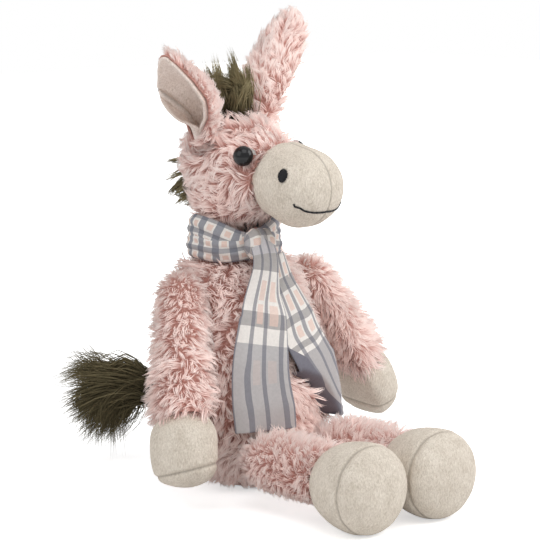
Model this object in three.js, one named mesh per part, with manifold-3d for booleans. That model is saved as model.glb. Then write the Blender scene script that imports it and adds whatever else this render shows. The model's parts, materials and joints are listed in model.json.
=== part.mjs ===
// A sitting plush donkey in millimetres: +Z is up, the face looks along -Y, the seat is at the origin.
import * as THREE from "three";
import { mergeVertices } from "three/addons/utils/BufferGeometryUtils.js";
import Module from "manifold-3d";

const wasm = await Module();
wasm.setup();

// Fits between pieces
const SEAM_GAP = 0.3; // between two fabrics sewn edge to edge
const FILL_GAP = 0.4; // between a skin and the stuffing behind it
const TURN_GAP = 0.5; // round a sewn root that turns in its pocket

// Fabrics
const PLUSH_WALL = 6; // plush backing with its pile
const VELOUR_WALL = 2;
const SCARF_THICKNESS = 2.4;

// Torso: half sizes of its outline from the seat up to the neck
const SEAT_HALF_WIDTH = 27;
const SEAT_HALF_DEPTH = 25;
const BELLY_HEIGHT = 46;
const BELLY_HALF_WIDTH = 52;
const BELLY_HALF_DEPTH = 52;
const CHEST_HEIGHT = 110;
const CHEST_HALF_WIDTH = 44;
const CHEST_HALF_DEPTH = 41;
const CHEST_SET_BACK = 7;
const NECK_BASE_HEIGHT = 146;
const NECK_RADIUS = 22;
const NECK_SET_BACK = 14;

// Bean pouch in the seat
const POUCH_HALF_WIDTH = 20;
const POUCH_HALF_DEPTH = 18;
const POUCH_HEIGHT = 22;
const POUCH_SIDE = 1; // upright stretch between its two domes

// Neck stuffing on which the head turns
const NECK_FILL_RADIUS = 13.5;
const NECK_FILL_LENGTH = 26;

// Head, measured from the centre of the round throat that sits on the neck
const THROAT_RADIUS = NECK_RADIUS + 8;
const THROAT_RISE = 39; // throat centre above the foot of the neck
const HEAD_TURN = 7; // degrees to its left
const SKULL_HALF_WIDTH = 33;
const SKULL_HALF_HEIGHT = 31;
const SKULL_RISE = 18;
const SKULL_SET_BACK = 4;
const SKULL_BACK_LENGTH = 31;
const BROW_FORWARD = 20;
const BROW_HALF_WIDTH = 30;
const BROW_HALF_HEIGHT = 29;
const BROW_RISE = 16;
const FACE_SEAM_FORWARD = 37;
const FACE_SEAM_RADIUS = 25;
const FACE_SEAM_RISE = 10;
const FACE_SEAM_TILT = 10; // degrees, top edge forward
const MUZZLE_FORWARD = 54;
const MUZZLE_RISE = 5;
const MUZZLE_HALF_WIDTH = 29;
const MUZZLE_HALF_HEIGHT = 26;
const MUZZLE_NOSE_LENGTH = 27;

// Safety eyes
const EYE_RADIUS = 6.2;
const EYE_DOME = 5.2;
const EYE_RINGS = 5; // facets from rim to top
const EYE_FLANGE = 1.2;
const EYE_SHANK_RADIUS = 1.9;
const EYE_SHANK_LENGTH = 12;
const EYE_FORWARD = 30;
const EYE_RISE = 26;
const WASHER_RADIUS = 6.5;
const WASHER_THICKNESS = 1.8;
const WASHER_GRIP = 0.15; // air left round the shank

// Embroidery on the muzzle
const STITCH_THICKNESS = 1;
const NOSTRIL_HALF_WIDTH = 2.9;
const NOSTRIL_HALF_HEIGHT = 4.6;
const NOSTRIL_YAW = 72; // degrees from straight ahead
const NOSTRIL_PITCH = 22;
const MOUTH_CORNER_YAW = 56;
const MOUTH_CORNER_PITCH = -10;
const MOUTH_MIDDLE_PITCH = -28;
const MOUTH_HALF_THREAD = 0.8;

// Ears
const EAR_LENGTH = 76;
const EAR_HALF_WIDTH = 19;
const EAR_TIP_HALF_WIDTH = 7;
const EAR_ROOT_RADIUS = 9;
const EAR_BASE_HALF_WIDTH = 9;
const EAR_PLUSH = 4.5;
const EAR_LINING = 1.6;
const EAR_CURL = 62; // degrees of arc to each side of the fold
const EAR_SPREAD = 25; // root to the middle line of the head
const EAR_SET_BACK = 3;
const EAR_SINK = 2.5; // root centre below the head's surface
const EAR_WIDEST = 41; // height of the widest place
const EAR_HEM = 4.5; // plush past the tip of the lining
const LEFT_EAR = { lean: 31, back: 3, turn: 0 };
const RIGHT_EAR = { lean: 46, back: -14, turn: 24 };

// Long olive pile
const FORELOCK_LENGTH = 37;
const FORELOCK_ROOT_RADIUS = 9;
const FORELOCK_LOCKS = 7;
const FORELOCK_CAP_HEIGHT = 5.4;
const FORELOCK_LOCK_RADIUS = 5.6; // at the root
const LOCK_TIP_RADIUS = 0.8;
const FORELOCK_ROOT_RING = 4; // lock roots to the middle of the cap
const FORELOCK_SPLAY = 12; // how far the tips lean out
const FORELOCK_STAGGER = 8; // a lock to the next shorter one
const MANE_HALF_WIDTH = 8;
const MANE_HEIGHT = 9;
const MANE_FROM = 118; // degrees round the head from straight ahead
const MANE_TO = 208;
const MANE_SINK = 3.6; // below the head's surface before it is fitted
const MANE_SCALLOP = 1.4; // rise and fall of its ridge
const MANE_END_HALF_WIDTH = 4.8;
const MANE_WAVE = 2.1; // radians of the wave from section to section

// Arms, measured from the shoulder down the arm
const SHOULDER_HEIGHT = CHEST_HEIGHT + 15;
const SHOULDER_SPREAD = 51.5;
const SHOULDER_SET_BACK = 2;
const SHOULDER_RADIUS = 17;
const ARM_INNER_FLAT = 9.3; // arm centre to the face that lies on the torso
const RIGHT_ARM = { lean: 12, swing: 17 }; // degrees outward and forward
const LEFT_ARM = { lean: 36, swing: -6 };
const WRIST_RADIUS = 22;
const WRIST_REACH = 76;
const HOOF_RADIUS = 21.5;
const HOOF_LENGTH = 32;
const HOOF_END_DOME = 8;
const HOOF_SWELL = 1; // fuller at half length, drawn in as much at the seam of the end panel

// Legs, measured from the hip along the leg
const HIP_HEIGHT = 27;
const HIP_SPREAD = 28.2;
const HIP_FORWARD = 57;
const HIP_RADIUS = 21;
const ANKLE_RADIUS = 20.5;
const ANKLE_REACH = 50;
const FOOT_RADIUS = 27.2;
const FOOT_LENGTH = 34;
const FOOT_RISE = 0; // foot centre above the hip centre
const SOLE_DOME = 13;
const FOOT_FULL_AT = 18.7; // from the ankle seam to where the foot is nearly full
const FOOT_SWELL = 1;

// Tail
const TAIL_HEIGHT = 46;
const TAIL_ROOT_RADIUS = 10;
const TAIL_STUB_RADIUS = 7.5;
const TAIL_ROOT_LENGTH = 22;
const TAIL_BRUSH_LENGTH = 58;
const TAIL_YAW = 32; // degrees to the right of straight back
const TAIL_LOCKS = 7;
const TAIL_CORE_RADIUS = 22; // brush without its locks
const TAIL_CORE_END_RADIUS = 10.4;
const TAIL_CORE_LENGTH = 46;
const TAIL_LOCK_RADIUS = 7.1;
const TAIL_LOCK_TIP_RADIUS = 1.6;
const TAIL_LOCK_RING = 14.3; // lock roots to the middle of the brush
const TAIL_LOCK_SPLAY = 5;
const TAIL_STAGGER = 5.8; // a lock to the next shorter one

// Scarf
const SCARF_WIDTH = 34;
const SCARF_GATHER = 18; // width where the cloth is drawn together at the knot
const COLLAR_WIDTH = 25;
const COLLAR_FULLNESS = 5.6;
const KNOT_HALF_WIDTH = 11;
const KNOT_HALF_HEIGHT = 10;
const KNOT_DEPTH = 9;
const KNOT_ANGLE = 13; // degrees to the right of the front
const COLLAR_DROP = 4; // lower edge below the foot of the neck
const COLLAR_WAIST = 0.3; // how far the two turns of cloth draw in where they meet
const FRONT_END_OVER_KNOT = 0.5; // above the knot, where the cloth comes out of the turns
const END_TUCK = 2; // from the knot's middle to the tucked start of an end
const SIDE_END_WIDTH = 27.2;
const SIDE_END_TURN = -11; // degrees, where the side end leaves the knot
const CHEST_FOLD_RISE = 8; // above the chest, where the front end meets the body
const SCARF_STAND_OFF = 1.2; // cloth ends to the pile of the torso
const FRONT_END_LOW = 50; // height of its hem
const FRONT_END_ANGLE = 33; // degrees to the right at the hem
const SIDE_END_LOW = 49;
const SIDE_END_ANGLE = -50;

// Mesh fineness
const AROUND = 14;
const LIMB_AROUND = 12;
const DOME_RINGS = 4;
const TORSO_STEPS = 10;
const SKULL_STEPS = 9;
const MUZZLE_STEPS = 6;
const ARM_STEPS = 5;
const LEG_STEPS = 4;
const HOOF_STEPS = 3;
const EAR_STEPS = 7;
const EAR_ARC_STEPS = 6;
const LOCK_AROUND = 6;
const MOUTH_STEPS = 12;
const MANE_STEPS = 8;
const CLOTH_STEPS = 12;
const COLLAR_AROUND = 22;
const COLLAR_PROFILE = 10;
const SMALL_AROUND = 12;
const ROOT_AROUND = 16;
const WELD = 1e-4; // corners closer than this are one
const FAR = 400; // a cutting block larger than the toy

const radians = THREE.MathUtils.degToRad;
const vec = (x, y, z) => new THREE.Vector3(x, y, z);
const X = vec(1, 0, 0);
const Y = vec(0, 1, 0);
const Z = vec(0, 0, 1);

const plush = (name) => finish(name, "#d9b7ad", 0.95);
const velour = (name) => finish(name, "#d8cec3", 0.9);
const olive = (name) => finish(name, "#3f3a2c", 0.85);
const cotton = (name) => finish(name, "#a9a6ab", 0.9);
const fibre = (name) => finish(name, "#f1efe8", 1);
const thread = (name) => finish(name, "#17171a", 0.7);

function finish(name, colour, roughness, metalness = 0) {
  const material = new THREE.MeshStandardMaterial({ color: colour, roughness, metalness });
  material.name = name;
  return material;
}

// Closed geometry as a solid that can be joined and cut
function solidOf(geometry) {
  const bare = geometry.clone();
  bare.deleteAttribute("normal");
  bare.deleteAttribute("uv");
  const merged = mergeVertices(bare, WELD);
  const position = merged.attributes.position.array;
  return new wasm.Manifold(new wasm.Mesh({
    numProp: 3,
    vertProperties: new Float32Array(position),
    triVerts: new Uint32Array(merged.index.array),
  }));
}

function geometryOf(solid) {
  const mesh = solid.getMesh();
  const geometry = new THREE.BufferGeometry();
  geometry.setAttribute("position", new THREE.BufferAttribute(new Float32Array(mesh.vertProperties), 3));
  geometry.setIndex(new THREE.BufferAttribute(new Uint32Array(mesh.triVerts), 1));
  geometry.computeVertexNormals();
  return geometry;
}

const join = (...geometries) => geometryOf(geometries.map(solidOf).reduce((all, one) => all.add(one)));
const cut = (geometry, ...tools) =>
  geometryOf(tools.map(solidOf).reduce((rest, tool) => rest.subtract(tool), solidOf(geometry)));
const keep = (geometry, region) => geometryOf(solidOf(geometry).intersect(solidOf(region)));

function piece(name, geometry, material) {
  const mesh = new THREE.Mesh(geometry, material);
  mesh.name = name;
  return mesh;
}

// Outlines carried from section to section and closed at both ends
function sweep(sections) {
  const rings = sections.map(({ at, u, v, outline }) =>
    outline.map((p) => at.clone().addScaledVector(u, p.x).addScaledVector(v, p.y)));
  const corners = [];
  const face = (a, b, c) => {
    const flat = [[a, b], [b, c], [c, a]].some(([p, q]) => p.distanceTo(q) < WELD);
    if (!flat) corners.push(a, b, c);
  };
  for (let i = 1; i < rings.length; i++) {
    rings[i].forEach((here, j) => {
      const next = (j + 1) % rings[i].length;
      face(rings[i - 1][j], rings[i - 1][next], here);
      face(rings[i - 1][next], rings[i][next], here);
    });
  }
  const close = (ring, outline, turned) => {
    for (const [a, b, c] of THREE.ShapeUtils.triangulateShape(outline, [])) {
      if (turned) face(ring[a], ring[c], ring[b]);
      else face(ring[a], ring[b], ring[c]);
    }
  };
  close(rings[0], sections[0].outline, true);
  close(rings.at(-1), sections.at(-1).outline, false);
  return new THREE.BufferGeometry().setFromPoints(corners);
}

function oval(halfWidth, halfDepth, around = AROUND) {
  return Array.from({ length: around }, (_, i) => {
    const angle = (i / around) * 2 * Math.PI;
    return new THREE.Vector2(halfWidth * Math.cos(angle), halfDepth * Math.sin(angle));
  });
}

// Smooth line of ovals through the stations: z along, (x, y) the centre, w and d the half sizes
function stationAt(stations, t) {
  const line = (pick) => new THREE.CatmullRomCurve3(stations.map(pick)).getPoint(t);
  const centre = line((s) => vec(s.x ?? 0, s.y ?? 0, s.z));
  const size = line((s) => vec(s.w, s.d, s.z));
  return { x: centre.x, y: centre.y, z: centre.z, w: size.x, d: size.y };
}

// Stuffed form through the stations, rounded off beyond its ends where a dome length is given
function loft(stations, { steps = 8, around = AROUND, startDome = 0, endDome = 0 } = {}) {
  const rings = Array.from({ length: steps + 1 }, (_, i) => stationAt(stations, i / steps));
  const dome = (end, length) => Array.from({ length: DOME_RINGS }, (_, i) => {
    const angle = ((i + 1) / DOME_RINGS) * (Math.PI / 2);
    const shrink = i + 1 === DOME_RINGS ? 0 : Math.cos(angle);
    return { ...end, z: end.z + length * Math.sin(angle), w: end.w * shrink, d: end.d * shrink };
  });
  const before = startDome ? dome(rings[0], -startDome).reverse() : [];
  const after = endDome ? dome(rings.at(-1), endDome) : [];
  return sweep([...before, ...rings, ...after].map((s) => ({
    at: vec(s.x, s.y, s.z), u: X, v: Y, outline: oval(s.w, s.d, around),
  })));
}

const grown = (stations, by) => stations.map((s) => ({ ...s, w: s.w + by, d: s.d + by }));
const carriedOn = (stations, by) => [...stations, { ...stations.at(-1), z: stations.at(-1).z + by }];

function ball(radius, centre = vec(0, 0, 0), around = AROUND) {
  return new THREE.SphereGeometry(radius, around, around / 2).translate(centre.x, centre.y, centre.z);
}

// Hollow in which a ball of the radius turns freely, its flats clear of the ball's corners
function pocket(radius, centre, around = AROUND) {
  return ball((radius + TURN_GAP) / Math.cos(Math.PI / around) ** 2, centre, around);
}

// Block whose one face passes through the point, the block lying on the side the normal points to
function blockBeyond(point, normal) {
  const turn = new THREE.Quaternion().setFromUnitVectors(X, normal.clone().normalize());
  return new THREE.BoxGeometry(FAR, FAR, FAR).translate(FAR / 2, 0, 0).applyQuaternion(turn)
    .translate(point.x, point.y, point.z);
}

// Form whose length runs forward and whose second half size stands upright
const forward = (geometry) => geometry.rotateX(Math.PI / 2);

// Torso

const throatCentre = vec(0, NECK_SET_BACK, NECK_BASE_HEIGHT + THROAT_RISE);
const neckTop = throatCentre.z - Math.sqrt(THROAT_RADIUS ** 2 - NECK_RADIUS ** 2);
const torsoStations = [
  { z: 0, y: 0, w: SEAT_HALF_WIDTH, d: SEAT_HALF_DEPTH },
  {
    z: BELLY_HEIGHT, y: CHEST_SET_BACK * BELLY_HEIGHT / CHEST_HEIGHT,
    w: BELLY_HALF_WIDTH, d: BELLY_HALF_DEPTH,
  },
  { z: CHEST_HEIGHT, y: CHEST_SET_BACK, w: CHEST_HALF_WIDTH, d: CHEST_HALF_DEPTH },
  { z: NECK_BASE_HEIGHT, y: NECK_SET_BACK, w: NECK_RADIUS, d: NECK_RADIUS },
  { z: neckTop, y: NECK_SET_BACK, w: NECK_RADIUS, d: NECK_RADIUS },
];
const torsoForm = (by) => loft(grown(torsoStations, by), { steps: TORSO_STEPS });

// Oval of the torso at a height
function torsoAt(height) {
  let low = 0;
  let high = 1;
  for (let i = 0; i < 40; i++) {
    const middle = (low + high) / 2;
    if (stationAt(torsoStations, middle).z < height) low = middle;
    else high = middle;
  }
  return stationAt(torsoStations, low);
}

const shoulder = vec(SHOULDER_SPREAD, SHOULDER_SET_BACK, SHOULDER_HEIGHT);
const hip = vec(HIP_SPREAD, -HIP_FORWARD, HIP_HEIGHT);
const mirrored = (point) => vec(-point.x, point.y, point.z);
const tailSection = torsoAt(TAIL_HEIGHT);
const tailRoot = vec(0, tailSection.y + tailSection.d, TAIL_HEIGHT);

const limbPockets = [
  pocket(SHOULDER_RADIUS, shoulder), pocket(SHOULDER_RADIUS, mirrored(shoulder)),
  pocket(HIP_RADIUS, hip), pocket(HIP_RADIUS, mirrored(hip)),
  pocket(TAIL_ROOT_RADIUS, tailRoot),
];
const throatPocket = pocket(THROAT_RADIUS, throatCentre);

function buildTorso() {
  const hollow = (by) => loft([
    { ...torsoStations[0], z: by, w: SEAT_HALF_WIDTH - by, d: SEAT_HALF_DEPTH - by },
    ...carriedOn(grown(torsoStations.slice(1), -by), THROAT_RADIUS),
  ], { steps: TORSO_STEPS });
  const skin = cut(torsoForm(0), hollow(PLUSH_WALL), throatPocket, ...limbPockets);
  const pouchMiddle = PLUSH_WALL + FILL_GAP + POUCH_HEIGHT / 2;
  const pouchStations = [-POUCH_SIDE / 2, POUCH_SIDE / 2].map((off) => (
    { z: pouchMiddle + off, w: POUCH_HALF_WIDTH, d: POUCH_HALF_DEPTH }));
  const pouchDome = (POUCH_HEIGHT - POUCH_SIDE) / 2;
  const pouch = (by) => loft(grown(pouchStations, by),
    { steps: 1, startDome: pouchDome + by, endDome: pouchDome + by });
  const bore = NECK_FILL_RADIUS + TURN_GAP;
  const neckPocket = new THREE.CylinderGeometry(bore, bore, FAR, AROUND).rotateX(Math.PI / 2)
    .translate(0, NECK_SET_BACK, neckFillFoot - TURN_GAP + FAR / 2);
  const neckFoot = blockBeyond(vec(0, 0, neckFillFoot + NECK_FILL_LENGTH / 2), Z);
  const stuffing = cut(hollow(PLUSH_WALL + FILL_GAP), neckFoot, neckPocket, pouch(FILL_GAP), ...limbPockets);
  return [
    piece("torso_skin", skin, plush("pink_plush")),
    piece("torso_stuffing", stuffing, fibre("polyester_fibre")),
    piece("bean_pouch", pouch(0), finish("cotton_bean_pouch", "#e6e0d2", 0.9)),
  ];
}

// Neck stuffing: a round plug with a hollow top in which the throat turns
const neckFillFoot = throatCentre.z - THROAT_RADIUS - NECK_FILL_LENGTH;
function buildNeck() {
  const length = NECK_FILL_LENGTH + THROAT_RADIUS;
  const plug = new THREE.CylinderGeometry(NECK_FILL_RADIUS, NECK_FILL_RADIUS, length, AROUND)
    .rotateX(Math.PI / 2)
    .translate(0, NECK_SET_BACK, neckFillFoot + length / 2);
  const above = blockBeyond(throatCentre.clone().setZ(neckTop), Z);
  return [piece("neck_stuffing", cut(plug, throatPocket, above), fibre("polyester_fibre"))];
}

// Head, built round the throat centre and moved there at the end

const skullStations = [
  { z: -SKULL_SET_BACK, y: SKULL_RISE, w: SKULL_HALF_WIDTH, d: SKULL_HALF_HEIGHT },
  { z: BROW_FORWARD, y: BROW_RISE, w: BROW_HALF_WIDTH, d: BROW_HALF_HEIGHT },
  { z: FACE_SEAM_FORWARD, y: FACE_SEAM_RISE, w: FACE_SEAM_RADIUS, d: FACE_SEAM_RADIUS },
  { z: MUZZLE_FORWARD, y: MUZZLE_RISE, w: FACE_SEAM_RADIUS, d: FACE_SEAM_RADIUS },
];
const muzzleStations = [
  { z: BROW_FORWARD, y: FACE_SEAM_RISE, w: FACE_SEAM_RADIUS, d: FACE_SEAM_RADIUS },
  { z: FACE_SEAM_FORWARD, y: FACE_SEAM_RISE, w: FACE_SEAM_RADIUS, d: FACE_SEAM_RADIUS },
  { z: MUZZLE_FORWARD, y: MUZZLE_RISE, w: MUZZLE_HALF_WIDTH, d: MUZZLE_HALF_HEIGHT },
];
const faceSeam = vec(0, -FACE_SEAM_FORWARD, FACE_SEAM_RISE);
const faceNormal = vec(0, -Math.cos(radians(FACE_SEAM_TILT)), -Math.sin(radians(FACE_SEAM_TILT)));
const skullForm = (by) => join(
  forward(loft(grown(skullStations, by), { steps: SKULL_STEPS, startDome: SKULL_BACK_LENGTH + by })),
  ball(THROAT_RADIUS + by),
);
const muzzleForm = (by) =>
  forward(loft(grown(muzzleStations, by), { steps: MUZZLE_STEPS, endDome: MUZZLE_NOSE_LENGTH + by }));

// Place and outward direction where a ray from inside leaves a form
function leave(geometry, from, direction) {
  const mesh = new THREE.Mesh(geometry, new THREE.MeshBasicMaterial({ side: THREE.DoubleSide }));
  const hits = new THREE.Raycaster(from, direction.clone().normalize()).intersectObject(mesh);
  const hit = hits.at(-1);
  return { point: hit.point, normal: hit.face.normal.clone() };
}

const aim = (yaw, pitch) => vec(
  Math.sin(radians(yaw)) * Math.cos(radians(pitch)),
  -Math.cos(radians(yaw)) * Math.cos(radians(pitch)),
  Math.sin(radians(pitch)));

// Turned profile set on a surface with its axis along the normal
function setOn(profile, { point, normal }) {
  const turn = new THREE.Quaternion().setFromUnitVectors(Y, normal);
  return new THREE.LatheGeometry(profile.map(([r, h]) => new THREE.Vector2(r, h)), SMALL_AROUND)
    .applyQuaternion(turn).translate(point.x, point.y, point.z);
}

function eyeParts(skull, side) {
  const heart = vec(0, -EYE_FORWARD, BROW_RISE);
  const target = vec(side * BROW_HALF_WIDTH, -EYE_FORWARD, EYE_RISE);
  const seat = leave(skull, heart, target.clone().sub(heart));
  const dome = Array.from({ length: EYE_RINGS + 1 }, (_, i) => {
    const angle = (i / EYE_RINGS) * (Math.PI / 2);
    return [i === EYE_RINGS ? 0 : EYE_RADIUS * Math.cos(angle), EYE_DOME * Math.sin(angle)];
  });
  const back = -EYE_FLANGE;
  const tip = -EYE_SHANK_LENGTH;
  const eye = setOn(
    [[0, tip], [EYE_SHANK_RADIUS, tip], [EYE_SHANK_RADIUS, back], [EYE_RADIUS, back], ...dome], seat);
  const washerFace = -PLUSH_WALL - FILL_GAP;
  const washerBack = washerFace - WASHER_THICKNESS;
  const bore = EYE_SHANK_RADIUS + WASHER_GRIP;
  const washer = setOn([
    [bore, washerBack], [WASHER_RADIUS, washerBack], [WASHER_RADIUS, washerFace], [bore, washerFace],
    [bore, washerBack],
  ], seat);
  const roomEnd = tip - FILL_GAP;
  const column = (radius, from, to) => [[0, from], [radius, from], [radius, to], [0, to]];
  const shankRoom = setOn(column(EYE_SHANK_RADIUS + SEAM_GAP, roomEnd, EYE_DOME), seat);
  const flangeRoom = setOn(column(EYE_RADIUS + SEAM_GAP, back - SEAM_GAP, EYE_DOME + SEAM_GAP), seat);
  const eyeRoom = join(shankRoom, flangeRoom);
  const washerRoom = setOn(column(WASHER_RADIUS + FILL_GAP, roomEnd, washerFace + FILL_GAP), seat);
  const fillRoom = setOn(column(WASHER_RADIUS + FILL_GAP, roomEnd, EYE_DOME), seat);
  return { eye, washer, eyeRoom, washerRoom, fillRoom };
}

// Flat embroidery on the muzzle, where a column through it comes out
function embroidered(column) {
  return cut(keep(muzzleForm(SEAM_GAP + STITCH_THICKNESS), column), muzzleForm(SEAM_GAP));
}

function nostril(side) {
  const { point } = leave(muzzleForm(0), muzzleHeart, aim(side * NOSTRIL_YAW, NOSTRIL_PITCH));
  const direction = point.clone().sub(muzzleHeart).normalize();
  const across = vec(0, 0, 1).cross(direction).normalize();
  const upward = direction.clone().cross(across);
  const outline = oval(NOSTRIL_HALF_WIDTH, NOSTRIL_HALF_HEIGHT, SMALL_AROUND);
  const reach = MUZZLE_HALF_WIDTH / 2;
  return embroidered(sweep([-reach, reach].map((step) => (
    { at: point.clone().addScaledVector(direction, step), u: across, v: upward, outline }))));
}

function mouth() {
  const rays = Array.from({ length: MOUTH_STEPS + 1 }, (_, i) => {
    const share = (2 * i) / MOUTH_STEPS - 1;
    const pitch = MOUTH_MIDDLE_PITCH + (MOUTH_CORNER_PITCH - MOUTH_MIDDLE_PITCH) * share ** 2;
    return aim(share * MOUTH_CORNER_YAW, pitch);
  });
  const near = MUZZLE_HALF_HEIGHT / 2;
  const beyond = MUZZLE_HALF_WIDTH + MUZZLE_NOSE_LENGTH;
  const half = MOUTH_HALF_THREAD;
  const sections = rays.map((ray, i) => {
    const along = rays[Math.min(i + 1, MOUTH_STEPS)].clone().sub(rays[Math.max(i - 1, 0)]).normalize();
    const upward = along.clone().cross(ray).normalize();
    const outline = [[near, -half], [beyond, -half], [beyond, half], [near, half]]
      .map(([r, h]) => new THREE.Vector2(r, h));
    return { at: muzzleHeart.clone(), u: ray, v: upward, outline };
  });
  return embroidered(sweep(sections));
}

const muzzleHeart = vec(0, -MUZZLE_FORWARD, MUZZLE_RISE);

// Tapering lock of pile through its places, thickest at the first
function lock(places, rootRadius, tipRadius, [u, v]) {
  return sweep(places.map((at, i) => {
    const radius = THREE.MathUtils.lerp(rootRadius, tipRadius, i / (places.length - 1));
    return { at, u, v, outline: oval(radius, radius, LOCK_AROUND) };
  }));
}

const LOCK_SHARES = [0, 1 / 3, 2 / 3, 1]; // sections along a lock

function forelock() {
  const crown = leave(skullForm(0), vec(0, SKULL_SET_BACK, SKULL_RISE), Z).point;
  const cap = new THREE.SphereGeometry(FORELOCK_ROOT_RADIUS, SMALL_AROUND, SMALL_AROUND / 2)
    .scale(1, 1, FORELOCK_CAP_HEIGHT / FORELOCK_ROOT_RADIUS)
    .translate(crown.x, crown.y, crown.z);
  const locks = Array.from({ length: FORELOCK_LOCKS }, (_, i) => {
    const turn = (i / FORELOCK_LOCKS) * 2 * Math.PI;
    const out = vec(Math.cos(turn), Math.sin(turn), 0);
    const length = FORELOCK_LENGTH - FORELOCK_STAGGER * (i % 3);
    const places = LOCK_SHARES.map((s) => crown.clone()
      .addScaledVector(out, FORELOCK_ROOT_RING + FORELOCK_SPLAY * s ** 2)
      .addScaledVector(Z, length * s));
    return lock(places, FORELOCK_LOCK_RADIUS, LOCK_TIP_RADIUS, [X, Y]);
  });
  return cut(join(cap, ...locks), skullForm(SEAM_GAP));
}

// Ridge of pile over the back of the head, with a wavy top
function mane() {
  const heart = vec(0, 0, SKULL_RISE / 2);
  const sections = Array.from({ length: MANE_STEPS + 1 }, (_, i) => {
    const angle = radians(THREE.MathUtils.lerp(MANE_FROM, MANE_TO, i / MANE_STEPS));
    const ray = vec(0, -Math.cos(angle), Math.sin(angle));
    const { point } = leave(skullForm(0), heart, ray);
    const half = i % MANE_STEPS === 0 ? MANE_END_HALF_WIDTH : MANE_HALF_WIDTH;
    const ridge = MANE_HEIGHT + MANE_SCALLOP * Math.sin(i * MANE_WAVE);
    const outline = [
      ...[-half, half].map((x) => new THREE.Vector2(x, -MANE_SINK)),
      ...[1 / 6, 1 / 2, 5 / 6].map((s) => new THREE.Vector2(
        half * Math.cos(s * Math.PI), ridge * Math.sin(s * Math.PI))),
    ];
    return { at: point, u: X.clone().negate(), v: ray, outline };
  });
  return cut(sweep(sections), skullForm(SEAM_GAP));
}

// Ear along +Z from its root, its hollow side toward +Y
function earHalfWidth(height) {
  const rise = new THREE.CubicBezierCurve3(
    vec(EAR_BASE_HALF_WIDTH, 0, 0), vec(EAR_HALF_WIDTH, EAR_WIDEST / 3, 0),
    vec(EAR_HALF_WIDTH, EAR_WIDEST / 2, 0), vec(EAR_HALF_WIDTH, EAR_WIDEST, 0));
  const fall = new THREE.CubicBezierCurve3(
    vec(EAR_HALF_WIDTH, EAR_WIDEST, 0), vec(EAR_HALF_WIDTH, (EAR_WIDEST + EAR_LENGTH) / 2, 0),
    vec(EAR_HALF_WIDTH, EAR_LENGTH, 0), vec(EAR_TIP_HALF_WIDTH, EAR_LENGTH, 0));
  return height < EAR_WIDEST
    ? rise.getPoint(height / EAR_WIDEST).x
    : fall.getPoint((height - EAR_WIDEST) / (EAR_LENGTH - EAR_WIDEST)).x;
}

// Crescent of the ear's wall between two depths behind its back
function earSection(height, thickness, inset) {
  const arc = radians(EAR_CURL);
  const radius = earHalfWidth(height) / Math.sin(arc);
  const bend = (r) => Array.from({ length: EAR_ARC_STEPS + 1 }, (_, i) => {
    const angle = arc * (2 * i / EAR_ARC_STEPS - 1);
    return new THREE.Vector2(r * Math.sin(angle), radius * Math.cos(arc) - r * Math.cos(angle));
  });
  return [...bend(radius - inset), ...bend(radius - inset - thickness).reverse()];
}

function earForm(thickness, inset) {
  return sweep(Array.from({ length: EAR_STEPS + 1 }, (_, i) => {
    const height = THREE.MathUtils.lerp(EAR_ROOT_RADIUS / 2, EAR_LENGTH, i / EAR_STEPS);
    return { at: vec(0, 0, height), u: X, v: Y, outline: earSection(height, thickness, inset) };
  }));
}

function earParts() {
  const root = (by) => ball(EAR_ROOT_RADIUS + by, vec(0, 0, 0), ROOT_AROUND);
  const back = join(earForm(EAR_PLUSH, 0), root(0));
  const lining = cut(earForm(EAR_LINING, EAR_PLUSH + SEAM_GAP), root(SEAM_GAP),
    blockBeyond(vec(0, 0, EAR_LENGTH - EAR_HEM), Z));
  return { back, lining };
}

const earRoot = (side) => {
  const over = leave(skullForm(0), vec(side * EAR_SPREAD, EAR_SET_BACK, SKULL_RISE), Z).point;
  return over.addScaledVector(Z, -EAR_SINK);
};

function buildEar(label, side, { lean, back, turn }) {
  const group = new THREE.Group();
  group.name = `${label}_ear`;
  const form = earParts();
  group.add(piece(`${label}_ear_back`, form.back, plush("pink_plush")));
  group.add(piece(`${label}_ear_lining`, form.lining, velour("beige_velour")));
  const outward = side > 0 ? -Math.PI / 2 : Math.PI / 2;
  const face = new THREE.Quaternion().setFromAxisAngle(Z, outward - side * radians(turn));
  const tilt = new THREE.Quaternion()
    .setFromEuler(new THREE.Euler(-radians(back), side * radians(lean), 0, "YXZ"));
  group.quaternion.copy(tilt.multiply(face));
  group.position.copy(earRoot(side));
  return group;
}

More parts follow.
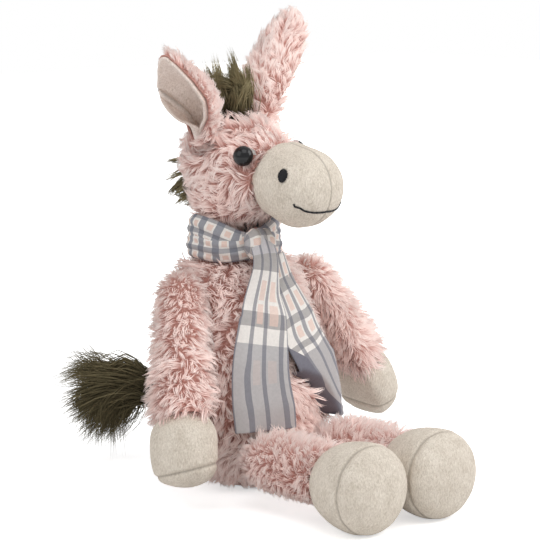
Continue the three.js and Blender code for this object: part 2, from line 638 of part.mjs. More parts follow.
function buildHead() {
  const head = new THREE.Group();
  head.name = "head";
  head.position.copy(throatCentre);
  head.rotation.z = radians(HEAD_TURN);
  const faceAt = (off) => faceSeam.clone().addScaledVector(faceNormal, off);
  const ahead = (off) => blockBeyond(faceAt(off), faceNormal);
  const behind = (off) => blockBeyond(faceAt(off), faceNormal.clone().negate());
  const skull = skullForm(0);
  const eyes = [eyeParts(skull, -1), eyeParts(skull, 1)];
  const throatReach = THROAT_RADIUS + SEAM_GAP;
  const neckHole = new THREE.CylinderGeometry(NECK_FILL_RADIUS, NECK_FILL_RADIUS, throatReach, AROUND)
    .rotateX(Math.PI / 2).translate(0, 0, -throatReach / 2);
  const earRooms = [-1, 1].map((side) => pocket(EAR_ROOT_RADIUS, earRoot(side)));
  const skin = cut(skull, ahead(0), skullForm(-PLUSH_WALL), neckHole, ...eyes.map((e) => e.eyeRoom),
    ...eyes.map((e) => e.washerRoom), ...earRooms);
  const muzzle = cut(muzzleForm(0), behind(SEAM_GAP), muzzleForm(-VELOUR_WALL));
  const half = (side) => cut(muzzle, blockBeyond(vec(side * SEAM_GAP / 2, 0, 0), vec(-side, 0, 0)));
  const stuffing = cut(
    join(
      cut(skullForm(-PLUSH_WALL - FILL_GAP), ahead(FILL_GAP + SEAM_GAP + FILL_GAP)),
      cut(muzzleForm(-VELOUR_WALL - FILL_GAP), behind(SEAM_GAP + FILL_GAP)),
    ),
    ...eyes.map((e) => e.fillRoom), ...earRooms);
  head.add(
    piece("head_skin", skin, plush("pink_plush")),
    piece("muzzle_right_panel", half(-1), velour("beige_velour")),
    piece("muzzle_left_panel", half(1), velour("beige_velour")),
    piece("head_stuffing", stuffing, fibre("polyester_fibre")),
    piece("right_nostril", nostril(-1), thread("black_thread")),
    piece("left_nostril", nostril(1), thread("black_thread")),
    piece("mouth_line", mouth(), thread("black_thread")),
    piece("forelock", forelock(), olive("olive_long_pile")),
    piece("mane", mane(), olive("olive_long_pile")),
  );
  ["right", "left"].forEach((label, i) => {
    head.add(piece(`${label}_eye`, eyes[i].eye, finish("black_plastic", "#0b0b0d", 0.12)));
    head.add(piece(`${label}_eye_washer`, eyes[i].washer, finish("white_plastic", "#e9e9e6", 0.5)));
  });
  head.add(buildEar("right", -1, RIGHT_EAR), buildEar("left", 1, LEFT_EAR));
  return head;
}

// Arm of the left side, hanging from the shoulder at the origin; the right arm is its mirror image
function buildArm(label, side, { lean, swing }) {
  const arm = new THREE.Group();
  arm.name = `${label}_arm`;
  const upperArm = (SHOULDER_RADIUS + WRIST_RADIUS) / 2;
  const sleeveStations = [
    { z: 0, w: SHOULDER_RADIUS, d: SHOULDER_RADIUS },
    { z: WRIST_REACH / 2, w: upperArm, d: upperArm },
    { z: WRIST_REACH, w: WRIST_RADIUS, d: WRIST_RADIUS },
  ];
  const hoofStart = WRIST_REACH + SEAM_GAP;
  const hoofEnd = hoofStart + HOOF_LENGTH;
  const hoofStations = [
    { z: hoofStart, w: HOOF_RADIUS, d: HOOF_RADIUS },
    { z: hoofStart + HOOF_LENGTH / 2, w: HOOF_RADIUS + HOOF_SWELL, d: HOOF_RADIUS + HOOF_SWELL },
    { z: hoofEnd, w: HOOF_RADIUS - HOOF_SWELL, d: HOOF_RADIUS - HOOF_SWELL },
  ];
  const hang = (geometry) => geometry.rotateX(Math.PI);
  const sleeveForm = (by, onward) => hang(loft(
    onward ? carriedOn(grown(sleeveStations, by), onward) : grown(sleeveStations, by),
    { steps: ARM_STEPS, around: LIMB_AROUND, startDome: SHOULDER_RADIUS + by }));
  const hoofForm = (by) => hang(loft(grown(hoofStations, by),
    { steps: HOOF_STEPS, around: LIMB_AROUND, endDome: HOOF_END_DOME + by }));
  const inside = (by) => blockBeyond(vec(by - ARM_INNER_FLAT, 0, 0), vec(-1, 0, 0));
  const offTorso = cut(inside(0), ball(SHOULDER_RADIUS + SEAM_GAP / 2));
  const panelPlane = vec(0, 0, -hoofEnd);
  const below = blockBeyond(panelPlane, vec(0, 0, -1));
  const above = blockBeyond(panelPlane.clone().setZ(-hoofEnd - SEAM_GAP), Z);
  const sleeve = cut(sleeveForm(0), offTorso, cut(sleeveForm(-PLUSH_WALL, PLUSH_WALL), inside(PLUSH_WALL)));
  const hoofBody = cut(hoofForm(0), inside(0));
  const hoofInner = cut(join(hoofForm(-VELOUR_WALL), hang(cuffHole(hoofStations[0]))), inside(VELOUR_WALL));
  const hoof = cut(hoofBody, hoofInner);
  const filling = join(
    cut(sleeveForm(-PLUSH_WALL - FILL_GAP, PLUSH_WALL), inside(PLUSH_WALL + FILL_GAP)),
    cut(hoofForm(-VELOUR_WALL - FILL_GAP), inside(VELOUR_WALL + FILL_GAP)));
  arm.add(
    piece(`${label}_arm_sleeve`, sleeve, plush("pink_plush")),
    piece(`${label}_hand_hoof`, cut(hoof, below), velour("beige_velour")),
    piece(`${label}_hand_pad`, cut(hoof, above), velour("beige_velour")),
    piece(`${label}_arm_stuffing`, filling, fibre("polyester_fibre")),
  );
  arm.rotation.set(-radians(swing), -radians(lean), 0, "YXZ");
  arm.position.copy(shoulder);
  return sided(arm, side);
}

// A left limb as it is, or its mirror image for the right side
function sided(limb, side) {
  const frame = new THREE.Group();
  frame.name = `${limb.name}_side`;
  frame.scale.x = side;
  frame.add(limb);
  return frame;
}

// Way from a sleeve into the hoof or foot sewn to it, open past the seam to both sides
function cuffHole(end) {
  const stations = [-PLUSH_WALL, PLUSH_WALL].map((off) => ({ ...end, z: end.z + off }));
  return loft(grown(stations, -VELOUR_WALL), { steps: 1, around: LIMB_AROUND });
}

function buildLeg(label, side) {
  const leg = new THREE.Group();
  leg.name = `${label}_leg`;
  const thigh = (HIP_RADIUS + ANKLE_RADIUS) / 2;
  const sleeveStations = [
    { z: 0, w: HIP_RADIUS, d: HIP_RADIUS },
    { z: ANKLE_REACH / 2, w: thigh, d: thigh },
    { z: ANKLE_REACH, w: ANKLE_RADIUS, d: ANKLE_RADIUS },
  ];
  const footStart = ANKLE_REACH + SEAM_GAP;
  const footEnd = footStart + FOOT_LENGTH;
  const footStations = [
    { z: footStart, y: 0, w: ANKLE_RADIUS, d: ANKLE_RADIUS },
    { z: footStart + FOOT_FULL_AT, y: FOOT_RISE, w: FOOT_RADIUS - FOOT_SWELL, d: FOOT_RADIUS - FOOT_SWELL },
    { z: footEnd, y: FOOT_RISE, w: FOOT_RADIUS, d: FOOT_RADIUS },
  ];
  const sleeveForm = (by, onward) => forward(loft(
    onward ? carriedOn(grown(sleeveStations, by), onward) : grown(sleeveStations, by),
    { steps: LEG_STEPS, around: LIMB_AROUND, startDome: HIP_RADIUS + by }));
  const footForm = (by) => forward(loft(grown(footStations, by),
    { steps: LEG_STEPS, around: LIMB_AROUND, endDome: SOLE_DOME + by }));
  const ankleHole = forward(cuffHole(footStations[0]));
  const floor = (by) => blockBeyond(vec(0, 0, by - HIP_HEIGHT), vec(0, 0, -1));
  const seam = vec(0, -footEnd, 0);
  const beyond = blockBeyond(seam, vec(0, -1, 0));
  const behind = blockBeyond(seam.clone().setY(-footEnd - SEAM_GAP), vec(0, 1, 0));
  const sleeve = cut(sleeveForm(0), sleeveForm(-PLUSH_WALL, PLUSH_WALL));
  const foot = cut(footForm(0), floor(0), cut(join(footForm(-VELOUR_WALL), ankleHole), floor(VELOUR_WALL)));
  const filling = cut(
    join(sleeveForm(-PLUSH_WALL - FILL_GAP, PLUSH_WALL), footForm(-VELOUR_WALL - FILL_GAP)),
    floor(VELOUR_WALL + FILL_GAP));
  leg.add(
    piece(`${label}_leg_sleeve`, sleeve, plush("pink_plush")),
    piece(`${label}_foot_upper`, cut(foot, beyond), velour("beige_velour")),
    piece(`${label}_foot_sole`, cut(foot, behind), velour("beige_velour")),
    piece(`${label}_leg_stuffing`, filling, fibre("polyester_fibre")),
  );
  leg.position.copy(hip);
  return sided(leg, side);
}

function buildTail() {
  const tail = new THREE.Group();
  tail.name = "tail";
  const round = (z, radius) => ({ z, w: radius, d: radius });
  const stub = join(
    ball(TAIL_ROOT_RADIUS, vec(0, 0, 0), ROOT_AROUND),
    forward(loft([round(0, TAIL_STUB_RADIUS), round(TAIL_ROOT_LENGTH, TAIL_STUB_RADIUS)], { steps: 1 })));
  const start = TAIL_ROOT_LENGTH + SEAM_GAP;
  const core = forward(loft([
    round(start, TAIL_STUB_RADIUS),
    round(start + TAIL_CORE_LENGTH / 3, TAIL_CORE_RADIUS),
    round(start + TAIL_CORE_LENGTH * 3 / 4, TAIL_CORE_RADIUS),
    round(start + TAIL_CORE_LENGTH, TAIL_CORE_END_RADIUS),
  ], { steps: MUZZLE_STEPS }));
  const locks = Array.from({ length: TAIL_LOCKS }, (_, i) => {
    const turn = (i / TAIL_LOCKS) * 2 * Math.PI;
    const out = vec(Math.cos(turn), 0, Math.sin(turn));
    const from = start + TAIL_CORE_LENGTH / 2;
    const to = start + TAIL_BRUSH_LENGTH - TAIL_STAGGER * (i % 3);
    const places = LOCK_SHARES.map((s) => vec(0, -THREE.MathUtils.lerp(from, to, s), 0)
      .addScaledVector(out, TAIL_LOCK_RING + TAIL_LOCK_SPLAY * s));
    return lock(places, TAIL_LOCK_RADIUS, TAIL_LOCK_TIP_RADIUS, [X, Z]);
  });
  tail.add(
    piece("tail_root", stub, plush("pink_plush")),
    piece("tail_brush", join(core, ...locks), olive("olive_long_pile")),
  );
  tail.rotation.z = Math.PI + radians(TAIL_YAW);
  tail.position.copy(tailRoot);
  return tail;
}

// Scarf

const collarLow = NECK_BASE_HEIGHT - COLLAR_DROP;
const collarInner = NECK_RADIUS + SEAM_GAP;
const collarOuter = collarInner + COLLAR_FULLNESS;

// Two turns of cloth round the neck, drawn in a little between them
function collarForm(by) {
  const profile = Array.from({ length: COLLAR_PROFILE }, (_, i) => {
    const angle = (i / COLLAR_PROFILE) * 2 * Math.PI;
    const drawnIn = COLLAR_FULLNESS * COLLAR_WAIST * Math.cos(angle) ** 2;
    return new THREE.Vector2(
      collarInner + COLLAR_FULLNESS / 2 + (COLLAR_FULLNESS / 2 + by) * Math.cos(angle)
        - Math.sign(Math.cos(angle)) * drawnIn / 2,
      collarLow + COLLAR_WIDTH / 2 + (COLLAR_WIDTH / 2 + by) * Math.sin(angle));
  });
  profile.push(profile[0].clone());
  return new THREE.LatheGeometry(profile, COLLAR_AROUND).rotateX(Math.PI / 2).translate(0, NECK_SET_BACK, 0);
}

const onCollar = (angle, height, off) => vec(
  -(collarOuter + off) * Math.sin(radians(angle)),
  NECK_SET_BACK - (collarOuter + off) * Math.cos(radians(angle)),
  height);

function onTorso(angle, height, off) {
  const s = torsoAt(height);
  return vec(-(s.w + off) * Math.sin(radians(angle)), s.y - (s.d + off) * Math.cos(radians(angle)), height);
}

// Cloth end hanging from the knot over the torso, as a band that widens toward its hem
function clothEnd(path, widths) {
  const curve = new THREE.CatmullRomCurve3(path);
  return sweep(Array.from({ length: CLOTH_STEPS + 1 }, (_, i) => {
    const t = i / CLOTH_STEPS;
    const at = curve.getPoint(t);
    const along = curve.getTangent(t);
    const out = vec(at.x, at.y - NECK_SET_BACK, 0).normalize();
    const across = out.clone().cross(along).normalize();
    const off = along.clone().cross(across).normalize();
    const half = THREE.MathUtils.lerp(...widths, t) / 2;
    const bow = half * half / (2 * BELLY_HALF_WIDTH);
    const face = (side) => [-1, -1 / 2, 0, 1 / 2, 1].map((x) =>
      new THREE.Vector2(x * half, side * SCARF_THICKNESS / 2 - bow * x * x));
    return { at, u: across, v: off, outline: [...face(-1), ...face(1).reverse()] };
  }));
}

function buildScarf() {
  const knotHeight = collarLow + COLLAR_WIDTH / 2;
  const knotOff = KNOT_DEPTH / 2 + SEAM_GAP;
  const knotCentre = onCollar(KNOT_ANGLE, knotHeight, knotOff);
  const knot = (by) => new THREE.SphereGeometry(1, AROUND, SMALL_AROUND)
    .scale(KNOT_HALF_WIDTH + by, KNOT_DEPTH + by, KNOT_HALF_HEIGHT + by)
    .rotateZ(-radians(KNOT_ANGLE)).translate(knotCentre.x, knotCentre.y, knotCentre.z);
  const lying = SCARF_STAND_OFF + SCARF_THICKNESS;
  const between = (a, b, share) => THREE.MathUtils.lerp(a, b, share);
  const front = clothEnd([
    onCollar(KNOT_ANGLE, knotHeight + KNOT_HALF_HEIGHT + FRONT_END_OVER_KNOT, knotOff + END_TUCK),
    onCollar(KNOT_ANGLE, knotHeight, knotOff + KNOT_DEPTH + SCARF_THICKNESS),
    onTorso(between(KNOT_ANGLE, FRONT_END_ANGLE, 2 / 5), CHEST_HEIGHT + CHEST_FOLD_RISE,
      lying + 2 * SCARF_THICKNESS),
    onTorso(between(KNOT_ANGLE, FRONT_END_ANGLE, 2 / 3), between(CHEST_HEIGHT, FRONT_END_LOW, 1 / 2), lying),
    onTorso(FRONT_END_ANGLE, FRONT_END_LOW, lying),
  ], [SCARF_GATHER, SCARF_WIDTH]);
  const flank = clothEnd([
    onCollar(SIDE_END_TURN, knotHeight - KNOT_HALF_HEIGHT / 2, knotOff + END_TUCK),
    onTorso(between(SIDE_END_TURN, SIDE_END_ANGLE, 1 / 6), CHEST_HEIGHT + 2 * CHEST_FOLD_RISE,
      lying + SCARF_THICKNESS),
    onTorso(between(SIDE_END_TURN, SIDE_END_ANGLE, 1 / 3), between(CHEST_HEIGHT, SIDE_END_LOW, 1 / 4),
      lying),
    onTorso(SIDE_END_ANGLE, SIDE_END_LOW, lying),
  ], [SCARF_GATHER, SIDE_END_WIDTH]);
  const collar = cut(collarForm(0), torsoForm(SEAM_GAP));
  const knotSolid = cut(knot(0), collarForm(SEAM_GAP), torsoForm(SEAM_GAP));
  const away = [collarForm(SEAM_GAP), torsoForm(SEAM_GAP), knot(SEAM_GAP)];
  return [
    piece("scarf_collar", collar, cotton("plaid_cotton")),
    piece("scarf_knot", knotSolid, cotton("plaid_cotton")),
    piece("scarf_front_end", cut(front, ...away), cotton("plaid_cotton")),
    piece("scarf_side_end", cut(flank, ...away), cotton("plaid_cotton")),
  ];
}

const donkey = new THREE.Group();
donkey.name = "plush_donkey";
donkey.add(
  ...buildTorso(), ...buildNeck(), buildHead(),
  buildArm("right", -1, RIGHT_ARM), buildArm("left", 1, LEFT_ARM),
  buildLeg("right", -1), buildLeg("left", 1),
  buildTail(), ...buildScarf(),
);

export default donkey;
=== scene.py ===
"""Looks of a sitting plush donkey: curly pink pile, beige velour, olive long pile and a plaid scarf."""
import json
import logging
import math
from collections.abc import Callable, Iterable, Mapping, Sequence
from dataclasses import dataclass, field, fields
from enum import Enum

import bmesh
import bpy
import numpy as np
from mathutils import Matrix, Vector, noise
from mathutils.bvhtree import BVHTree
from mathutils.kdtree import KDTree


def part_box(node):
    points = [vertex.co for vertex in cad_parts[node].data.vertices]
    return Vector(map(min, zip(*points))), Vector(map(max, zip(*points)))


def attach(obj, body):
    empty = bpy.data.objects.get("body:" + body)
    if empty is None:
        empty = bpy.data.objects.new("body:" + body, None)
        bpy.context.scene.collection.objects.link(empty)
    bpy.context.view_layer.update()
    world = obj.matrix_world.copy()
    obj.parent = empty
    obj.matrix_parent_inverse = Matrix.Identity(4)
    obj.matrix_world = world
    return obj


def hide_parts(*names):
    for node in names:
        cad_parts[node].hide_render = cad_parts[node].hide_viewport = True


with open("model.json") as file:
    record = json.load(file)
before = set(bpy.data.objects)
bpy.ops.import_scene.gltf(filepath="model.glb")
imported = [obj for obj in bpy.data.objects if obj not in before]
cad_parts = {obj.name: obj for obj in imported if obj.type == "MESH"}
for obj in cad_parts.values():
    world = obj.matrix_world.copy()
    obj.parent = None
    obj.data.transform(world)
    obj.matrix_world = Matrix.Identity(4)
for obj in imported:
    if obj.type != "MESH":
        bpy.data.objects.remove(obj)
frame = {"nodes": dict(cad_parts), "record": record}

LOG = logging.getLogger("plush_donkey")
MM = 0.001
CM2 = 1e-4
SEED = 11
PILE_SOFTNESS = 0.52
SAME_PLACE = 1e-6
BAKE_MAP = "OFBake"
# attribute that marks painted shade in the grooves of the seams
SEAM_SHADE = "seam"
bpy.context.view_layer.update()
UP = Vector((0, 0, 1))

Points = np.ndarray
Field = Callable[[Points], Points]
Plane = tuple[Vector, Vector]
Stops = Sequence[tuple[float, str | float]]


# Places in the frame


def joint_row(name: str) -> Mapping[str, Sequence[float]]:
    """The record's row of a joint."""
    return next(j for j in frame["record"]["behaviour"]["joints"] if j["name"] == name)


def joint_place(name: str) -> Vector:
    """A point on a joint's axis at rest, in metres."""
    return Vector(joint_row(name)["pos_m"])


def joint_axis(name: str) -> Vector:
    """Unit direction of a joint's axis at rest."""
    return Vector(joint_row(name)["axis"]).normalized()


def node_points(*nodes: str) -> Points:
    """Corners of some CAD nodes, in metres, one a row."""
    return np.array([v.co for n in nodes for v in frame["nodes"][n].data.vertices], float)


def node_middle(*nodes: str) -> Vector:
    """Mean of the corners of some CAD nodes."""
    return Vector(node_points(*nodes).mean(0))


def mm(*values: float) -> tuple[float, ...]:
    """Millimetres as metres."""
    return tuple(v * MM for v in values)


def unit(rows: Points) -> Points:
    """Rows of an array brought to length 1."""
    return rows / np.maximum(np.linalg.norm(rows, axis=-1, keepdims=True), 1e-12)


def past(rows: Points, plane: Plane) -> Points:
    """How far points lie past a plane, which is a point and a unit normal."""
    return (rows - np.array(plane[0])) @ np.array(plane[1])


def axes_frame(origin: Vector, x: Vector, z: Vector) -> Matrix:
    """Matrix of a local frame, with y square to both axes.

    Args:
        origin: the frame's origin.
        x: rough direction of the x axis.
        z: direction of the z axis.

    Returns:
        The matrix from the local frame to the row frame.
    """
    z = z.normalized()
    y = z.cross(x).normalized()
    x = y.cross(z)
    return Matrix((
        (x.x, y.x, z.x, origin.x), (x.y, y.y, z.y, origin.y), (x.z, y.z, z.z, origin.z), (0, 0, 0, 1)))


# Finishes


def linear(hex_colour: str) -> tuple[float, float, float, float]:
    """Linear colour of an sRGB hex value.

    Args:
        hex_colour: such as "#d9b7ad".

    Returns:
        Red, green, blue and alpha.
    """
    def channel(pair: str) -> float:
        """Linear value of one pair of hex digits."""
        c = int(pair, 16) / 255
        return c / 12.92 if c <= 0.04045 else ((c + 0.055) / 1.055) ** 2.4

    h = hex_colour.lstrip("#")
    return (channel(h[0:2]), channel(h[2:4]), channel(h[4:6]), 1.0)


@dataclass(frozen=True)
class Wires:
    """The node tree of a material or a world, with short ways to add what the finishes share."""

    tree: bpy.types.NodeTree

    def feed(self, node: bpy.types.Node, inputs: Mapping[str | int, object]) -> None:
        """Sets a node's inputs.

        Args:
            node: the node.
            inputs: input name or number to a value, or to the socket that feeds it.
        """
        for key, value in inputs.items():
            if isinstance(value, bpy.types.NodeSocket):
                self.tree.links.new(value, node.inputs[key])
            else:
                node.inputs[key].default_value = value

    def add(self, kind: str, inputs: Mapping[str | int, object], **settings: object) -> bpy.types.Node:
        """Adds a shader node with its settings, values and links.

        Args:
            kind: the node's type, without the word that all types start with.
            inputs: input name or number to a value, or to the socket that feeds it.
            settings: the node's own properties.

        Returns:
            The node.
        """
        node = self.tree.nodes.new(f"ShaderNode{kind}")
        for key, value in settings.items():
            setattr(node, key, value)
        self.feed(node, inputs)
        return node

    def place(self) -> bpy.types.NodeSocket:
        """Object coordinates."""
        return self.add("TexCoord", {}).outputs["Object"]

    def chart(self) -> tuple[bpy.types.NodeSocket, bpy.types.NodeSocket]:
        """The two ways of the piece's own map."""
        parts = self.add("SeparateXYZ", {"Vector": self.add("UVMap", {}, uv_map=BAKE_MAP).outputs["UV"]})
        return parts.outputs["X"], parts.outputs["Y"]

    def math(self, operation: str, *values: object) -> bpy.types.NodeSocket:
        """Result of a Math node."""
        return self.add("Math", dict(enumerate(values)), operation=operation).outputs[0]

    def vector(self, operation: str, *values: object) -> bpy.types.Node:
        """A Vector Math node."""
        return self.add("VectorMath", dict(enumerate(values)), operation=operation)

    def mix(self, share: object, first: object, second: object) -> bpy.types.NodeSocket:
        """Mix of two colours."""
        return self.add("Mix", {"Factor": share, 6: first, 7: second}, data_type="RGBA").outputs[2]

    def noise(self, place: object, size: float, **grain: float) -> bpy.types.NodeSocket:
        """Noise with clouds of a size; grain sets the node's other inputs."""
        inputs = {"Vector": place, "Scale": 1 / size, **{key.title(): value for key, value in grain.items()}}
        return self.add("TexNoise", inputs).outputs["Fac"]

    def span(self, value: object, start: Sequence[float] = (0, 1),
             end: Sequence[float] = (0, 1)) -> bpy.types.NodeSocket:
        """A value brought from one span to another."""
        return self.add("MapRange", {"Value": value, "From Min": start[0], "From Max": start[1],
                                     "To Min": end[0], "To Max": end[1]}).outputs["Result"]

    def bump(self, height: object, strength: float, distance: float) -> bpy.types.NodeSocket:
        """Normal of a bump."""
        inputs = {"Strength": strength, "Distance": distance, "Height": height}
        return self.add("Bump", inputs).outputs["Normal"]

    def ramp(self, feed: object, stops: Stops, steps: bool = False) -> bpy.types.NodeSocket:
        """Colour along a ramp.

        Args:
            feed: the socket that runs along it.
            stops: places, each with a hex colour or a grey level.
            steps: whether it jumps from stop to stop.

        Returns:
            The colour.
        """
        node = self.add("ValToRGB", {"Fac": feed})
        elements = node.color_ramp.elements
        elements.remove(elements[1])
        for i, (place, tone) in enumerate(stops):
            stop = elements.new(place) if i else elements[0]
            stop.position = place
            stop.color = linear(tone) if isinstance(tone, str) else (tone, tone, tone, 1)
        node.color_ramp.interpolation = "CONSTANT" if steps else "LINEAR"
        return node.outputs["Color"]

    def seen_ray(self) -> bpy.types.NodeSocket:
        """Tells the rays that show the background from those that only light the toy.

        Returns:
            1 for a ray that comes straight, mirrored or through glass, else 0.
        """
        ray = self.add("LightPath", {}).outputs
        bent = self.math("MAXIMUM", ray["Is Glossy Ray"], ray["Is Transmission Ray"])
        return self.math("MAXIMUM", ray["Is Camera Ray"], bent)


@dataclass(frozen=True)
class Finish:
    """A material, made once and kept by its name."""

    name: str

    def material(self) -> bpy.types.Material:
        """Gives the material, dressing it on first use.

        Returns:
            The Blender material.
        """
        found = bpy.data.materials.get(self.name)
        if found is None:
            found = bpy.data.materials.new(self.name)
            found.use_nodes = True
            wires = Wires(found.node_tree)
            wires.feed(found.node_tree.nodes["Principled BSDF"], self.sockets(wires))
        return found

    def sockets(self, wires: Wires) -> dict[str, object]:
        """What the shader's sockets get.

        Args:
            wires: the material's node tree.

        Returns:
            Socket names, each with a value or with the socket that feeds it.
        """
        raise NotImplementedError


@dataclass(frozen=True)
class PileYarn(Finish):
    """Polyester pile yarn: each strand has its own tone, darker at the root as painted shade deep in the
    pile, paler at the tip as painted light on the tips.
    """

    # root colours are painted shade deep in the pile, tip colours painted light on the tips
    root_dark: str = "#b0776d"
    root_light: str = "#e3b2a7"
    tip_dark: str = "#fad9d0"
    tip_light: str = "#fff4ef"
    # where along the strand the painted root shade gives way to the painted tip light
    paling: tuple[float, float] = (0.05, 0.6)  # shares of the length
    roughness: float = 0.75

    def sockets(self, wires: Wires) -> dict[str, object]:
        """Colours by the strand's own map: across it is the strand's tone, along it the length, from painted
        shade at the root to painted light at the tip.

        Args:
            wires: the material's node tree.

        Returns:
            Socket names, each with a value or with the socket that feeds it.
        """
        shade, along = wires.chart()
        root = wires.ramp(shade, ((0, self.root_dark), (1, self.root_light)))
        tip = wires.ramp(shade, ((0, self.tip_dark), (1, self.tip_light)))
        # the mix along the strand paints shade at the root and light at the tip
        return {"Base Color": wires.mix(wires.span(along, self.paling), root, tip),
                "Roughness": self.roughness, "Specular IOR Level": 0.0}


@dataclass(frozen=True)
class Velour(Finish):
    """Short polyester velour: mottled by the lie of its nap, darker with painted shade where a seam draws it
    in.
    """

    shade: str = "#c2b6a7"
    lit: str = "#eae1d4"
    # painted shade in the groove of a seam
    seam: str = "#8a7f74"
    nap: float = 0.85 * MM  # drawn coarser than the real pile so that it shows
    cloud: float = 9 * MM
    cloud_share: float = 0.3
    brushed: tuple[float, float, float] = (1.0, 1.0, 0.45)
    mottle: tuple[float, float] = (0.44, 0.84)

    def sockets(self, wires: Wires) -> dict[str, object]:
        """Nap and cloud noise in colour and bump, with painted shade along the seams.

        Args:
            wires: the material's node tree.

        Returns:
            Socket names, each with a value or with the socket that feeds it.
        """
        place = wires.place()
        combed = wires.vector("MULTIPLY", place, self.brushed).outputs[0]
        nap = wires.noise(combed, self.nap, detail=3.0, roughness=0.65, distortion=0.6)
        cloud = wires.noise(place, self.cloud, detail=2.0, roughness=0.5)
        lie = wires.span(wires.math("MULTIPLY_ADD", cloud, self.cloud_share, nap), self.mottle)
        colour = wires.ramp(lie, ((0, self.shade), (1, self.lit)))
        # the seam mark mixes in painted shade along the seam's groove
        drawn = wires.add("Attribute", {}, attribute_name=SEAM_SHADE).outputs["Fac"]
        return {"Base Color": wires.mix(drawn, colour, linear(self.seam)),
                "Normal": wires.bump(nap, 1.0, 0.8 * MM), "Roughness": 0.9, "Specular IOR Level": 0.1}


@dataclass(frozen=True)
class KnitBacking(Finish):
    """Knitted backing of a pile fabric: a dull ground with fine loops, seen only between strands."""

    dark: str = "#a8776d"
    light: str = "#cfa69b"
    loop: float = 0.9 * MM

    def sockets(self, wires: Wires) -> dict[str, object]:
        """Colour and bump from a fine cell pattern.

        Args:
            wires: the material's node tree.

        Returns:
            Socket names, each with a value or with the socket that feeds it.
        """
        cell = wires.add("TexVoronoi", {"Vector": wires.place(), "Scale": 1 / self.loop}).outputs["Distance"]
        return {"Base Color": wires.ramp(cell, ((0, self.light), (0.8, self.dark))),
                "Normal": wires.bump(cell, 0.6, 0.3 * MM), "Roughness": 0.95}


@dataclass(frozen=True)
class PlaidCotton(Finish):
    """Yarn-dyed woven cotton: bands and stripes that mix where they cross, with a fine weave."""

    bands: Stops = ()
    stripes: Stops = ()
    blush: Stops = ()
    blush_across: Stops = ((0, 0), (0.34, 1), (0.48, 0), (0.63, 1), (0.8, 0))
    repeat: tuple[float, float] = (1.0, 1.0)
    size: tuple[float, float] = (34 * MM, 140 * MM)
    stripe_colour: str = "#6f707b"
    blush_colour: str = "#dcbfb2"
    lining: str | None = None
    lining_edge: Stops = ()
    yarn: float = 0.9 * MM  # drawn coarser than the real yarn so that it shows
    slub: float = 1.6 * MM

    def sockets(self, wires: Wires) -> dict[str, object]:
        """The plaid on the cloth's own map: across it is X, along it is Y.

        Args:
            wires: the material's node tree.

        Returns:
            Socket names, each with a value or with the socket that feeds it.
        """
        ways = wires.chart()
        x, y = (wires.math("FRACT", wires.math("MULTIPLY", way, times))
                for way, times in zip(ways, self.repeat))
        ground = wires.ramp(y, self.bands, True)
        striped, rosy, rosy_across = (wires.ramp(way, marks, True) for way, marks in (
            (x, self.stripes), (y, self.blush), (x, self.blush_across)))
        warmed = wires.mix(wires.math("MULTIPLY", rosy, rosy_across), ground, linear(self.blush_colour))
        colour = wires.mix(striped, warmed, linear(self.stripe_colour))
        if self.lining is not None:
            inside = wires.math("LESS_THAN", ways[0], wires.ramp(ways[1], self.lining_edge))
            colour = wires.mix(inside, colour, linear(self.lining))
        threads = [wires.math("SINE", wires.math("MULTIPLY", way, 2 * math.pi * length / self.yarn))
                   for way, length in zip(ways, self.size)]
        weave = wires.math("MULTIPLY", *threads)
        slub = wires.span(wires.noise(wires.place(), self.slub, detail=2.0), end=(0.88, 1.1))
        fleck = wires.math("MULTIPLY_ADD", weave, 0.1, slub)
        return {"Base Color": wires.vector("MULTIPLY", colour, fleck).outputs[0],
                "Normal": wires.bump(weave, 0.35, 0.15 * MM), "Roughness": 0.85, "Specular IOR Level": 0.1}


@dataclass(frozen=True)
class GlossPlastic(Finish):
    """Moulded acrylic of a safety eye: deep black under a clear gloss, faintly wavy."""

    colour: str = "#0a0a0d"
    roughness: float = 0.35
    coat: float = 0.7
    wave: float = 4 * MM

    def sockets(self, wires: Wires) -> dict[str, object]:
        """Gloss and a faint, slow waviness.

        Args:
            wires: the material's node tree.

        Returns:
            Socket names, each with a value or with the socket that feeds it.
        """
        wave = wires.noise(wires.place(), self.wave)
        return {"Base Color": linear(self.colour), "Normal": wires.bump(wave, 0.03, 0.1 * MM),
                "Roughness": self.roughness, "IOR": 1.36, "Specular IOR Level": 0.1,
                "Coat Weight": self.coat, "Coat Roughness": 0.06, "Coat IOR": 1.4}


@dataclass(frozen=True)
class FlatStock(Finish):
    """Plain stock of a hidden or small piece, such as fibre, thread or a washer: two tones of grain."""

    dark: str = "#d8d5cc"
    light: str = "#f4f2ec"
    grain: float = 2 * MM
    roughness: float = 0.9

    def sockets(self, wires: Wires) -> dict[str, object]:
        """Colour from a grain of the stock's own size.

        Args:
            wires: the material's node tree.

        Returns:
            Socket names, each with a value or with the socket that feeds it.
        """
        grain = wires.noise(wires.place(), self.grain, detail=3.0)
        return {"Base Color": wires.ramp(grain, ((0.3, self.dark), (0.7, self.light))),
                "Roughness": self.roughness, "Specular IOR Level": 0.2}


@dataclass(frozen=True)
class PaleFloor(Finish):
    """White paper sweep: lit a little by itself, so that it stays white and keeps a faint shadow."""

    glow: float = 0.55
    near: float = 0.25
    far: float = 0.6

    def sockets(self, wires: Wires) -> dict[str, object]:
        """Paper white, no gloss, and a glow that grows to full white away from the toy.

        Args:
            wires: the material's node tree.

        Returns:
            Socket names, each with a value or with the socket that feeds it.
        """
        off = wires.vector("LENGTH", wires.place()).outputs["Value"]
        glow = wires.span(off, (self.near, self.far), (self.glow, 1.0))
        return {"Base Color": (0.9, 0.9, 0.9, 1), "Roughness": 1.0, "Specular IOR Level": 0.0,
                "Emission Color": (1, 1, 1, 1),
                "Emission Strength": wires.math("MULTIPLY", glow, wires.seen_ray())}
